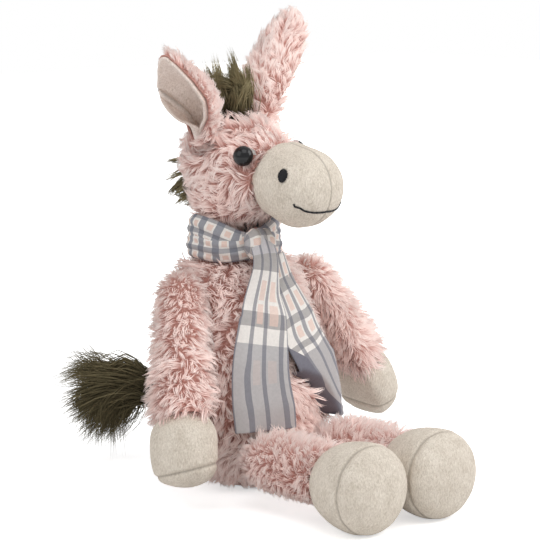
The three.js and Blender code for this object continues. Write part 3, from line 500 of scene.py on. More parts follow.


# both pile finishes paint shade at each strand's root and light at its tip
PINK_PILE = PileYarn("pink_polyester_pile")
OLIVE_PILE = PileYarn("olive_polyester_pile", root_dark="#221f17", root_light="#3b3628", tip_dark="#57503c",
                      tip_light="#b0a37e", roughness=0.6)
BEIGE_VELOUR = Velour("short_beige_velour")
# painted light: the ear lining's velour is paler, to offset the shade the lining lies in, and warmer, for
# bounce light off the pink pile
EAR_VELOUR_PAINTED_LIGHT = Velour("warm_beige_velour", shade="#d8c6ba", lit="#fff2ea")
PINK_BACKING = KnitBacking("pink_knit_backing")
BLACK_EYE = GlossPlastic("black_acrylic")
BLACK_THREAD = FlatStock("black_rayon_thread", dark="#0e0e10", light="#242428", grain=0.6 * MM, roughness=0.5)
WHITE_FIBRE = FlatStock("polyester_fibre_stuffing")
POUCH_COTTON = FlatStock("unbleached_cotton", dark="#d5cdb9", light="#e9e3d4", grain=1 * MM)
WHITE_WASHER = FlatStock("white_polypropylene", dark="#dededb", light="#efefec", grain=3 * MM, roughness=0.45)
PALE_FLOOR = PaleFloor("white_paper")

CREAM, GREY, PALE, SLATE = "#e3ded9", "#aca8a6", "#c3c0c2", "#94959b"
ENDS_STRIPES = ((0, 0.75), (0.035, 0), (0.23, 0.7), (0.31, 0), (0.51, 0.7), (0.59, 0), (0.84, 0.7), (0.92, 0),
                (0.97, 0.75))
CHECK_BLUSH = ((0, 0), (0.4, 0.8), (0.72, 0))
CHECK_ACROSS = ((0, 0), (0.36, 1), (0.72, 0))
FRONT_PLAID = PlaidCotton(
    "plaid_cotton_front", stripes=ENDS_STRIPES,
    bands=((0, PALE), (0.1, GREY), (0.19, CREAM), (0.4, GREY), (0.475, CREAM), (0.56, "#b6b3b3")),
    blush=((0, 0), (0.24, 0.65), (0.34, 0), (0.36, 0.65), (0.46, 0), (0.64, 0.2), (0.76, 0)))
SIDE_PLAID = PlaidCotton(
    "plaid_cotton_side", stripes=ENDS_STRIPES, lining="#77767f",
    bands=((0, CREAM), (0.12, GREY), (0.18, CREAM), (0.3, GREY), (0.34, CREAM), (0.44, GREY), (0.47, CREAM),
           (0.5, "#b1adad")),
    blush=((0, 0), (0.05, 0.7), (0.11, 0), (0.2, 0.7), (0.28, 0), (0.36, 0.7), (0.42, 0)),
    lining_edge=((0, 0), (0.42, 0.0), (0.52, 0.26), (0.8, 0.36), (1, 0.4)))
WRAP_PLAID = PlaidCotton(
    "plaid_cotton_wrap", repeat=(2.0, 16.0), size=(26 * MM, 180 * MM), stripe_colour="#6b6d77",
    stripes=((0, 0.65), (0.22, 0), (0.86, 0.65)), bands=((0, SLATE), (0.3, CREAM), (0.88, SLATE)),
    blush=CHECK_BLUSH, blush_across=CHECK_ACROSS)
KNOT_PLAID = PlaidCotton(
    "plaid_cotton_knot", repeat=(2.0, 3.5), size=(20 * MM, 44 * MM),
    stripes=((0, 0.6), (0.2, 0), (0.88, 0.6)), bands=((0, GREY), (0.3, CREAM), (0.8, GREY)),
    blush=CHECK_BLUSH, blush_across=CHECK_ACROSS)


# Meshes


def mesh_of(bm: bmesh.types.BMesh, name: str) -> bpy.types.Mesh:
    """Writes a bmesh to a new mesh and frees it.

    Args:
        bm: the bmesh.
        name: the mesh's name.

    Returns:
        The mesh.
    """
    mesh = bpy.data.meshes.new(name)
    bm.to_mesh(mesh)
    bm.free()
    return mesh


def add_object(name: str, mesh: bpy.types.Mesh, finish: Finish) -> bpy.types.Object:
    """Adds a mesh to the scene with its finish.

    Args:
        name: the piece's name.
        mesh: its mesh, in place.
        finish: its finish.

    Returns:
        The object.
    """
    made = bpy.data.objects.new(name, mesh)
    bpy.context.scene.collection.objects.link(made)
    mesh.materials.clear()
    mesh.materials.append(finish.material())
    return made


def apply_modifiers(thing: bpy.types.Object) -> None:
    """Gives an object the mesh that its modifiers make, and takes them off.

    Args:
        thing: the object.
    """
    graph = bpy.context.evaluated_depsgraph_get()
    mesh = bpy.data.meshes.new_from_object(thing.evaluated_get(graph), depsgraph=graph)
    thing.modifiers.clear()
    thing.data = mesh


def fused(name: str, nodes: Sequence[str], finish: Finish, voxel: float = 3.5 * MM,
          ease: int = 4) -> bpy.types.Object:
    """One closed skin round some CAD nodes.

    Args:
        name: the piece's name.
        nodes: the nodes that it closes round.
        finish: its finish.
        voxel: size of the steps of the skin.
        ease: how often it is smoothed.

    Returns:
        The object.
    """
    bm = bmesh.new()
    for node in nodes:
        bm.from_mesh(frame["nodes"][node].data)
    bmesh.ops.remove_doubles(bm, verts=bm.verts, dist=SAME_PLACE)
    skin = add_object(name, mesh_of(bm, name), finish)
    remesh = skin.modifiers.new("fuse", "REMESH")
    remesh.mode, remesh.voxel_size = "VOXEL", voxel
    smooth = skin.modifiers.new("ease", "SMOOTH")
    smooth.factor, smooth.iterations = 0.5, ease
    apply_modifiers(skin)
    return skin


def cut_off(thing: bpy.types.Object, place: Vector, direction: Vector) -> None:
    """Cuts a closed skin with a plane, drops what lies past it and closes the cut.

    Args:
        thing: the skin.
        place: a point of the plane.
        direction: the side that is dropped.
    """
    bm = bmesh.new()
    bm.from_mesh(thing.data)
    bmesh.ops.bisect_plane(bm, geom=[*bm.verts, *bm.edges, *bm.faces], plane_co=place, plane_no=direction,
                           clear_outer=True)
    bmesh.ops.holes_fill(bm, edges=[e for e in bm.edges if e.is_boundary], sides=0)
    bmesh.ops.triangulate(bm, faces=[f for f in bm.faces if len(f.verts) > 4])
    bm.to_mesh(thing.data)
    bm.free()


def read_rows(items: bpy.types.bpy_prop_collection, key: str) -> Points:
    """Vectors of a mesh's items.

    Args:
        items: such as its vertices.
        key: the vector's name.

    Returns:
        One row for each item.
    """
    rows = np.empty(3 * len(items), np.float32)
    items.foreach_get(key, rows)
    return rows.reshape(-1, 3).astype(float)


def vertex_places(thing: bpy.types.Object) -> Points:
    """Places of an object's vertices, one a row."""
    return read_rows(thing.data.vertices, "co")


def vertex_normals(thing: bpy.types.Object) -> Points:
    """Outward directions at an object's vertices, one a row."""
    return read_rows(thing.data.vertex_normals, "vector")


def set_places(thing: bpy.types.Object, rows: Points) -> None:
    """Moves an object's vertices to new places."""
    thing.data.vertices.foreach_set("co", rows.astype(np.float32).ravel())
    thing.data.update()


def sink(thing: bpy.types.Object, depth: float) -> None:
    """Moves a skin inward all over."""
    set_places(thing, vertex_places(thing) - vertex_normals(thing) * depth)


def tuck_under(thing: bpy.types.Object, depth: float, heel: float) -> None:
    """Rounds the foot of a form, where the stuffing holds it off the floor.

    Args:
        thing: the form.
        depth: how far its foot is drawn in at the floor.
        heel: height at which the rounding ends.
    """
    rows, out = vertex_places(thing), vertex_normals(thing)
    low = np.clip(1 - rows[:, 2] / heel, 0, 1)[:, None] ** 1.5
    set_places(thing, rows - out * np.array((1, 1, 0)) * low * depth)


def refine(thing: bpy.types.Object, levels: int) -> None:
    """Smooths a skin with subdivision and applies it.

    Args:
        thing: the skin.
        levels: how often each face is split.
    """
    sub = thing.modifiers.new("fine", "SUBSURF")
    sub.levels = sub.render_levels = levels
    apply_modifiers(thing)
    thing.data.shade_smooth()


def thicken(thing: bpy.types.Object, thickness: float) -> None:
    """Gives a face a wall to both sides, left as a modifier."""
    solid = thing.modifiers.new("thick", "SOLIDIFY")
    solid.thickness, solid.offset = thickness, 0


def even_out(bm: bmesh.types.BMesh, verts: Sequence[bmesh.types.BMVert]) -> None:
    """Smooths some vertices of a mesh once."""
    bmesh.ops.smooth_vert(bm, verts=verts, factor=0.5, use_axis_x=True, use_axis_y=True, use_axis_z=True)


def draw_in(thing: bpy.types.Object, gap: Field, half: float, depth: float) -> None:
    """Draws a skin in along a seam and marks the seam's groove for painted shade in its finish.

    Args:
        thing: the skin, fine enough to show the seam.
        gap: distance of each point from the seam.
        half: half width of the valley.
        depth: depth of the valley.
    """
    places, normals = vertex_places(thing), vertex_normals(thing)
    off = gap(places)
    set_places(thing, places - normals * (depth * np.exp(-(off / half) ** 2))[:, None])
    # the seam mark paints shade in the groove
    shade_mark = thing.data.attributes.get(SEAM_SHADE) or thing.data.attributes.new(SEAM_SHADE, "FLOAT", "POINT")
    old = np.empty(len(places), np.float32)
    shade_mark.data.foreach_get("value", old)
    drawn = np.maximum(old, 0.6 * np.exp(-(off / (0.55 * half)) ** 2))
    shade_mark.data.foreach_set("value", drawn.astype(np.float32))


def tree_of(thing: bpy.types.Object) -> BVHTree:
    """Search tree over a finished mesh.

    Args:
        thing: the object.

    Returns:
        The tree.
    """
    bm = bmesh.new()
    bm.from_mesh(thing.data)
    tree = BVHTree.FromBMesh(bm)
    bm.free()
    return tree


def point_tree(rows: Points) -> KDTree:
    """Search tree over points.

    Args:
        rows: the points.

    Returns:
        The tree.
    """
    tree = KDTree(len(rows))
    for i, row in enumerate(rows):
        tree.insert(row, i)
    tree.balance()
    return tree


def outside(rows: Points, others: Sequence[BVHTree], deep: float = 3.5 * MM,
            reach: float = 16 * MM) -> np.ndarray:
    """Tells which points don't lie well inside some closed meshes.

    Args:
        rows: the points.
        others: the meshes' search trees.
        deep: how far inside counts.
        reach: points further off than this are outside.

    Returns:
        True for each point outside.
    """
    free = np.ones(len(rows), bool)
    for tree in others:
        for i, row in enumerate(rows):
            place, normal, _, _ = tree.find_nearest(row, reach)
            free[i] &= place is None or (Vector(row) - place).dot(normal) >= -deep
    return free


@dataclass(frozen=True)
class Stuffing:
    """How stuffing swells a sewn skin."""

    pressure: float = 4.0
    frames: int = 20
    cap: float = 2.5 * MM

    def swell(self, skins: Sequence[bpy.types.Object]) -> None:
        """Blows the skins up as cloth and keeps what that gives, within the cap.

        Args:
            skins: closed meshes, which move together in one run.
        """
        scene = bpy.context.scene
        starts = [vertex_places(s) for s in skins]
        for skin in skins:
            cloth = skin.modifiers.new("swell", "CLOTH")
            cloth.settings.use_pressure = True
            cloth.settings.uniform_pressure_force = self.pressure
            cloth.settings.effector_weights.gravity = 0
            cloth.settings.quality = 4
            cloth.point_cache.frame_start, cloth.point_cache.frame_end = 1, self.frames
        for step in range(1, self.frames + 1):
            scene.frame_set(step)
        for skin, start in zip(skins, starts):
            apply_modifiers(skin)
            move = vertex_places(skin) - start
            reach = np.linalg.norm(move, axis=1, keepdims=True)
            set_places(skin, start + move * np.minimum(1, self.cap / np.maximum(reach, 1e-9)))
        scene.frame_set(1)


# Pile


@dataclass(frozen=True)
class PileCut:
    """How the strands of a pile fabric stand and lie. Lengths in metres, angles in degrees."""

    length: float = 9.4 * MM
    radius: float = 0.35 * MM
    per_cm2: float = 87
    lock: float = 2.7 * MM
    lift: float = 82
    settle: float = 22
    curl: float = 40
    wander: float = 85
    whorl: float = 12 * MM
    stray: float = 28
    gather: float = 0.8
    steps: int = 3
    patch: float = 26 * MM  # size of the clouds of shade
    lock_lengths: tuple[float, float] = (0.7, 1.3)
    strand_lengths: tuple[float, float] = (0.78, 1.12)
    thickness: tuple[float, float] = (0.75, 1.25)


@dataclass
class Strands:
    """Paths, thickness and shade of many strands."""

    paths: Points
    across: Points
    radius: Points
    shade: Points

    def part(self, chosen: np.ndarray) -> "Strands":
        """The strands that are chosen."""
        return Strands(self.paths[chosen], self.across[chosen], self.radius[chosen], self.shade[chosen])

    def off_floor(self, gap: float = 0.5 * MM) -> "Strands":
        """The same strands, pressed flat where the toy sits on them."""
        self.paths[:, :, 2] = np.maximum(self.paths[:, :, 2], gap)
        return self

    def mesh(self, name: str, blunt: float = 0.0, soft: float = 0.0) -> bpy.types.Mesh:
        """Closed three-sided spikes, with a map whose X is the shade and whose Y runs from root to tip.

        Args:
            name: the mesh's name.
            blunt: share of the root's thickness that is left at the tip.
            soft: how far the shading leans from the strand's own sides to the way out of the skin.

        Returns:
            The mesh.
        """
        count, rings = len(self.paths), self.paths.shape[1] - 1
        ahead = unit(np.gradient(self.paths, axis=1))
        side = unit(np.cross(ahead, np.broadcast_to(self.across[:, None], ahead.shape)))
        up = np.cross(ahead, side)
        share = np.arange(rings) / rings
        thick = self.radius[:, None] * (blunt + (1 - blunt) * (1 - share ** 1.6))[None]
        turn = np.array([0.5, 0.5 + 2 / 3, 0.5 + 4 / 3]) * math.pi
        spoke = (side[:, :-1, None] * np.cos(turn)[None, None, :, None]
                 + up[:, :-1, None] * np.sin(turn)[None, None, :, None])
        corner = self.paths[:, :-1, None] + thick[:, :, None, None] * spoke
        places = np.concatenate([corner.reshape(count, -1, 3), self.paths[:, -1:]], axis=1)
        faces = [(3 * r + k, 3 * r + (k + 1) % 3, 3 * r + 3 + (k + 1) % 3, 3 * r + 3 + k)
                 for r in range(rings - 1) for k in range(3)]
        last = 3 * (rings - 1)
        faces += [(last + k, last + (k + 1) % 3, 3 * rings) for k in range(3)] + [(2, 1, 0)]
        sizes = np.array([len(f) for f in faces])
        flat = np.concatenate([np.array(f) for f in faces])
        starts = np.concatenate([[0], np.cumsum(sizes)[:-1]])
        each = places.shape[1]
        nth = np.arange(count)[:, None]
        mesh = bpy.data.meshes.new(name)
        mesh.vertices.add(count * each)
        mesh.vertices.foreach_set("co", places.astype(np.float32).ravel())
        mesh.loops.add(count * len(flat))
        mesh.loops.foreach_set("vertex_index", (flat[None] + each * nth).astype(np.int32).ravel())
        mesh.polygons.add(count * len(sizes))
        mesh.polygons.foreach_set("loop_start", (starts[None] + len(flat) * nth).astype(np.int32).ravel())
        mesh.update(calc_edges=True)
        level = np.append(np.repeat(share, 3), 1.0)[flat]
        strip = np.append(np.tile([0.0, 0.5, 1.0], rings), 0.5)[flat]
        chart = np.stack(np.broadcast_arrays(
            0.01 + 0.97 * self.shade[:, None] + 0.008 * strip[None], 0.01 + 0.98 * level[None]), axis=-1)
        mesh.uv_layers.new(name=BAKE_MAP).data.foreach_set("uv", chart.astype(np.float32).ravel())
        mesh.shade_smooth()
        if soft:
            shell = np.concatenate([spoke.reshape(count, -1, 3), ahead[:, -1:]], axis=1)
            shell = unit((1 - soft) * shell + soft * (self.across[:, None] + np.array((0, 0, 0.35))))
            mesh.normals_split_custom_set_from_vertices(shell.reshape(-1, 3))
        return mesh


def smooth_noise(rows: Points, size: float, offset: float = 0.0) -> Points:
    """Slow noise at some points, about -1 to 1; another offset gives another noise."""
    shift = Vector((offset, offset * 1.7, -offset))
    return np.array([noise.noise(Vector(r) / size + shift) for r in rows])


def turned(rows: Points, axis: Points, angle: Points) -> Points:
    """Vectors turned about unit axes that are square to them, by radians."""
    return rows * np.cos(angle)[:, None] + np.cross(axis, rows) * np.sin(angle)[:, None]


def laid_flat(rows: Points, outward: Points) -> Points:
    """Unit vectors along a skin, from vectors and the skin's outward directions."""
    return unit(rows - outward * (rows * outward).sum(1, keepdims=True))


@dataclass
class Pelt:
    """Pile that grows on a base skin."""

    base: bpy.types.Object
    cut: PileCut
    lay: Field
    seed: int
    keep: Field | None = None
    trim: Field | None = None
    lean: Field | None = None

    def roots(self, rng: np.random.Generator) -> tuple[Points, Points, float]:
        """Roots strewn evenly on the base.

        Args:
            rng: the source of chance.

        Returns:
            The roots, the outward directions there, and the area for each root.
        """
        mesh = self.base.data
        mesh.calc_loop_triangles()
        corners = np.empty(3 * len(mesh.loop_triangles), np.int32)
        mesh.loop_triangles.foreach_get("vertices", corners)
        corners = corners.reshape(-1, 3)
        places, normals = vertex_places(self.base), vertex_normals(self.base)
        tri = places[corners]
        area = np.linalg.norm(np.cross(tri[:, 1] - tri[:, 0], tri[:, 2] - tri[:, 0]), axis=1) / 2
        count = int(area.sum() / CM2 * self.cut.per_cm2)
        pick = rng.choice(len(tri), size=count, p=area / area.sum())
        a, b = rng.random(count), rng.random(count)
        a, b = np.where(a + b > 1, 1 - a, a), np.where(a + b > 1, 1 - b, b)
        weight = np.stack([1 - a - b, a, b], axis=1)[:, :, None]
        roots = (tri[pick] * weight).sum(1)
        outward = unit((normals[corners[pick]] * weight).sum(1))
        if self.keep is not None:
            kept = self.keep(roots)
            roots, outward = roots[kept], outward[kept]
        return roots, outward, area.sum() / count

    def grow(self) -> Strands:
        """Grows the strands, drawn together in curling locks.

        Returns:
            The strands.
        """
        cut = self.cut
        rng = np.random.default_rng(self.seed)
        roots, outward, each = self.roots(rng)
        count = len(roots)
        locks = max(1, int(count * each / cut.lock ** 2))
        chosen = rng.choice(count, size=locks, replace=False)
        middle, mid_out = roots[chosen], outward[chosen]
        tree = point_tree(middle)
        owner = np.array([tree.find(row)[1] for row in roots])
        flow = laid_flat(self.lay(middle), mid_out)
        swirl = smooth_noise(middle, cut.whorl, self.seed)
        flow = turned(flow, mid_out, math.radians(cut.wander) * 1.6 * swirl)
        flow = turned(flow, mid_out, np.radians(rng.normal(0, cut.stray, locks)))
        bend = math.radians(cut.curl) * (2.2 * smooth_noise(middle, 1.3 * cut.whorl, self.seed + 5)
                                         + rng.uniform(-0.5, 0.5, locks))
        lock_length = cut.length * rng.uniform(*cut.lock_lengths, locks)
        lock_shade = 0.2 * smooth_noise(middle, cut.patch, self.seed + 9) + rng.uniform(-0.2, 0.2, locks)
        along = laid_flat(flow[owner] + rng.normal(0, 0.22, roots.shape), outward)
        length = lock_length[owner] * rng.uniform(*cut.strand_lengths, count)
        lift = rng.normal(0, 7, count)
        if self.trim is not None:
            length = length * self.trim(roots)
        if self.lean is not None:
            lift = lift - self.lean(roots)
        paths = self.paths(roots, outward, along, length, bend[owner], lift)
        spine = self.paths(middle, mid_out, flow, lock_length, bend, np.zeros(locks))
        share = np.linspace(0, 1, cut.steps + 1)[None, :, None]
        target = spine[owner] + 0.18 * (roots - middle[owner])[:, None]
        scale = (length / lock_length[owner])[:, None, None]
        target = paths[:, :1] + (target - paths[:, :1]) * np.minimum(scale, 1.1)
        paths = paths + cut.gather * share ** 1.4 * (target - paths)
        shade = 0.5 + lock_shade[owner] + rng.uniform(-0.18, 0.18, count)
        radius = cut.radius * rng.uniform(*cut.thickness, count)
        return Strands(paths, outward, radius, np.clip(shade, 0, 1))

    def paths(self, start: Points, outward: Points, along: Points, length: Points, bend: Points,
              lift: Points) -> Points:
        """Paths that rise from the base, lie over and curl sideways.

        Args:
            start: roots.
            outward: outward directions.
            along: directions of the lie.
            length: lengths.
            bend: sideways turns in radians.
            lift: degrees added to the rise.

        Returns:
            For each strand, one place more than the cut has steps.
        """
        cut = self.cut
        beside = np.cross(outward, along)
        places = [start]
        for step in range(cut.steps):
            share = (step + 0.5) / cut.steps
            rise = np.radians(cut.lift + (cut.settle - cut.lift) * share + lift)[:, None]
            turn = (bend * share)[:, None]
            heading = np.cos(turn) * along + np.sin(turn) * beside
            reach = (length / cut.steps)[:, None]
            places.append(places[-1] + reach * (np.cos(rise) * heading + np.sin(rise) * outward))
        return np.stack(places, axis=1)


def steady(direction: Vector) -> Field:
    """A lie that is the same everywhere."""
    return lambda rows: np.broadcast_to(np.array(direction, float), rows.shape).copy()


def enrol(thing: bpy.types.Object, body: str, replaces: Iterable[str] = ()) -> bpy.types.Object:
    """Puts a finished piece on its body and reports it.

    Args:
        thing: the piece.
        body: the CAD body that it rides on.
        replaces: CAD nodes that it stands for.

    Returns:
        The piece.
    """
    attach(thing, body)
    for node in replaces:
        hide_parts(node)
    LOG.info("%s on %s: %d faces", thing.name, body, len(thing.data.polygons))
    return thing


def pile_piece(name: str, strands: Strands, body: str) -> None:
    """Adds pink strands as a piece of a body.

    Args:
        name: the piece's name.
        strands: the strands.
        body: the body that it rides on.
    """
    pile = add_object(name, strands.mesh(name, 0, PILE_SOFTNESS), PINK_PILE)
    pile.visible_shadow = False  # fine fibre lets light through
    enrol(pile, body)


def brush_piece(node: str, strands: Strands, body: str) -> None:
    """Adds olive strands in place of a CAD node."""
    name = f"{node}_pile"
    enrol(add_object(name, strands.mesh(name, 0.25), OLIVE_PILE), body, [node])


def thread_piece(name: str, threads: Strands, blunt: float, body: str, node: str) -> None:
    """Adds black threads in place of a CAD node."""
    enrol(add_object(name, threads.mesh(name, blunt), BLACK_THREAD), body, [node])


TORSO_PILE = PileCut()
HEAD_PILE = PileCut(length=9.2 * MM, lift=72, settle=4, wander=110, curl=85, lock=3.2 * MM)
LIMB_PILE = PileCut(wander=70)
EAR_PILE = PileCut(length=8.5 * MM, lift=60, settle=5, per_cm2=110, wander=50)
BRUSH_RADII = (0.28 * MM, 0.46 * MM)


# Sub-assemblies


class Side(Enum):
    """A side of the toy, with its sign along X."""

    RIGHT = -1
    LEFT = 1

    @property
    def label(self) -> str:
        """The side's word in names."""
        return self.name.lower()


class Kind(Enum):
    """A kind of limb, with the CAD words for its hoof's wall and end."""

    ARM = ("hand_hoof", "hand_pad")
    LEG = ("foot_upper", "foot_sole")

    @property
    def label(self) -> str:
        """The kind's word in names."""
        return self.name.lower()


def seam_between(first: Sequence[str], second: Sequence[str], reach: float = 2.5 * MM) -> Plane:
    """Plane of the seam where two groups of CAD nodes meet.

    Args:
        first: nodes on one side.
        second: nodes on the other side.
        reach: how near their corners have to be.

    Returns:
        The seam's middle, and its direction from the first to the second.
    """
    tree = point_tree(node_points(*second))
    near = np.array([row for row in node_points(*first) if tree.find(row)[2] < reach])
    middle = near.mean(0)
    normal = Vector(np.linalg.svd(near - middle)[2][2])
    if normal.dot(node_middle(*second) - node_middle(*first)) < 0:
        normal.negate()
    return Vector(middle), normal


def smooth_path(points: Sequence[Vector], count: int, fineness: int = 40) -> Points:
    """Smooth path through a few points.

    Args:
        points: the points.
        count: how many places are wanted.
        fineness: how many steps are worked out between two points.

    Returns:
        Places along the path, evenly spread by length.
    """
    rows = np.array([tuple(p) for p in points], float)
    ends = np.vstack([2 * rows[0] - rows[1], rows, 2 * rows[-1] - rows[-2]])
    fine = []
    for i in range(len(rows) - 1):
        a, b, c, d = ends[i:i + 4]
        for t in np.linspace(0, 1, fineness, endpoint=False):
            fine.append(0.5 * (2 * b + (c - a) * t + (2 * a - 5 * b + 4 * c - d) * t * t
                               + (3 * b - a - 3 * c + d) * t ** 3))
    fine = np.array([*fine, rows[-1]])
    run = np.concatenate([[0], np.cumsum(np.linalg.norm(np.diff(fine, axis=0), axis=1))])
    at = np.linspace(0, run[-1], count)
    return np.stack([np.interp(at, run, fine[:, k]) for k in range(3)], axis=1)


@dataclass
class Plush:
    """A stuffed form of pile fabric: a base skin under the pile."""

    name: str
    nodes: tuple[str, ...]
    inner: tuple[str, ...]
    depth: float = 4.6 * MM
    tuck: float = 0.0
    heel: float = 22 * MM
    skin: bpy.types.Object = field(init=False)

    def build_skin(self) -> bpy.types.Object:
        """Makes the base skin at the CAD surface, still to be swollen and sunk."""
        self.skin = fused(f"{self.name}_skin", self.nodes + self.inner, PINK_BACKING)
        return self.skin

    def settle_skin(self) -> None:
        """Sinks the swollen skin under its pile and puts it on its body."""
        sink(self.skin, self.depth)
        tuck_under(self.skin, self.tuck, self.heel)
        refine(self.skin, 1)
        enrol(self.skin, self.name, self.nodes)

    def add_pile(self, strands: Strands, part: str = "") -> None:
        """Adds strands as the pile of the form or of a part of it."""
        pile_piece(f"{self.name}_pile{part}", strands, self.name)


@dataclass
class VelourForm:
    """A stuffed velour form that a sleeve or the head skin is sewn to."""

    name: str
    body: str
    nodes: tuple[str, ...]
    inner: tuple[str, ...]
    seam: Plane
    ease: int = 5
    slack: float = 0.3 * MM
    tongue: float = 4  # millimetres that it goes on behind the seam
    voxel: float = 3 * MM
    skin: bpy.types.Object = field(init=False)

    def build_skin(self) -> bpy.types.Object:
        """Makes the closed skin, cut off behind its seam.

        Returns:
            The skin.
        """
        middle, ahead = self.seam
        self.skin = fused(self.name, self.nodes + self.inner, BEIGE_VELOUR, self.voxel, self.ease)
        cut_off(self.skin, middle - ahead * self.tongue * MM, -ahead)
        return self.skin

    def settle_skin(self) -> None:
        """Takes the swollen skin in by its slack, fines it and puts it on its body."""
        sink(self.skin, self.slack)
        refine(self.skin, 2)
        enrol(self.skin, self.body, self.nodes)


@dataclass
class Torso(Plush):
    """The body, which sits on its seat and carries the rest."""

    collar_line: float = 148 * MM
    seat_line: float = 3.6 * MM
    panels: int = 5
    yoke: float = 14 * MM  # how far the shoulders go out to the arms
    yoke_height: tuple[float, float] = (138 * MM, 15 * MM)  # its middle and its spread
    yoke_half: float = 27 * MM
    full_height: tuple[float, float] = (134 * MM, 14 * MM)  # where the pile is longest, and its spread
    sight: float = 25 * MM  # cloth further off than this leaves the pile alone

    def build_skin(self) -> bpy.types.Object:
        """Makes the skin, fuller on the shoulders than the CAD form.

        Returns:
            The skin.
        """
        super().build_skin()
        rows = vertex_places(self.skin)
        middle, spread = self.yoke_height
        high = np.exp(-((rows[:, 2] - middle) / spread) ** 2)
        aside = np.clip(rows[:, 0] / self.yoke_half, -1, 1)
        rows[:, 0] += self.yoke * high * aside * np.abs(aside)
        set_places(self.skin, rows)
        return self.skin

    def grow(self, others: Sequence[BVHTree], cloth: Sequence[BVHTree]) -> None:
        """Grows the pile in panels round the body.

        Args:
            others: skins that cover some of it.
            cloth: cloth that lies on it.
        """
        skin = tree_of(self.skin)

        def room(row: Vector) -> float:
            """Room for the pile at a root, under any cloth.

            Args:
                row: the root.

            Returns:
                The free height.
            """
            out = skin.find_nearest(row)[1]
            over = [tree.ray_cast(row, out, self.sight)[3] for tree in cloth]
            near = [tree.find_nearest(row, 4 * MM)[3] for tree in cloth]
            over, near = (min((g for g in gaps if g is not None), default=self.sight)
                          for gaps in (over, near))
            return min(over, near + 1 * MM)

        def keep(rows: Points) -> np.ndarray:
            """Roots that the scarf, the seat and the limbs leave free."""
            return (rows[:, 2] < self.collar_line) & (rows[:, 2] > self.seat_line) & outside(rows, others)

        def trim(rows: Points) -> Points:
            """Shorter pile at the seat and under the scarf, longer on the shoulders.

            Args:
                rows: roots.

            Returns:
                Shares of the pile's length.
            """
            high = rows[:, 2]
            middle, spread = self.full_height
            full = 1 + 0.7 * np.exp(-((high - middle) / spread) ** 2)
            full = full * np.clip((high + 1 * MM) / (14 * MM), 0.4, 1.15)
            full = full * np.clip([(room(Vector(r)) - 1.5 * MM) / (9 * MM) for r in rows], 0.2, 1)
            return full * np.clip((self.collar_line + 6 * MM - high) / (9 * MM), 0.5, 1)

        lay = steady(Vector((0, -0.2, -1)))
        strands = Pelt(self.skin, TORSO_PILE, lay, SEED, keep, trim).grow().off_floor()
        roots = strands.paths[:, 0]
        turn = (np.arctan2(roots[:, 0], -roots[:, 1]) / (2 * math.pi)) % 1
        for i in range(self.panels):
            self.add_pile(strands.part((turn * self.panels).astype(int) == i), f"_{i + 1}")


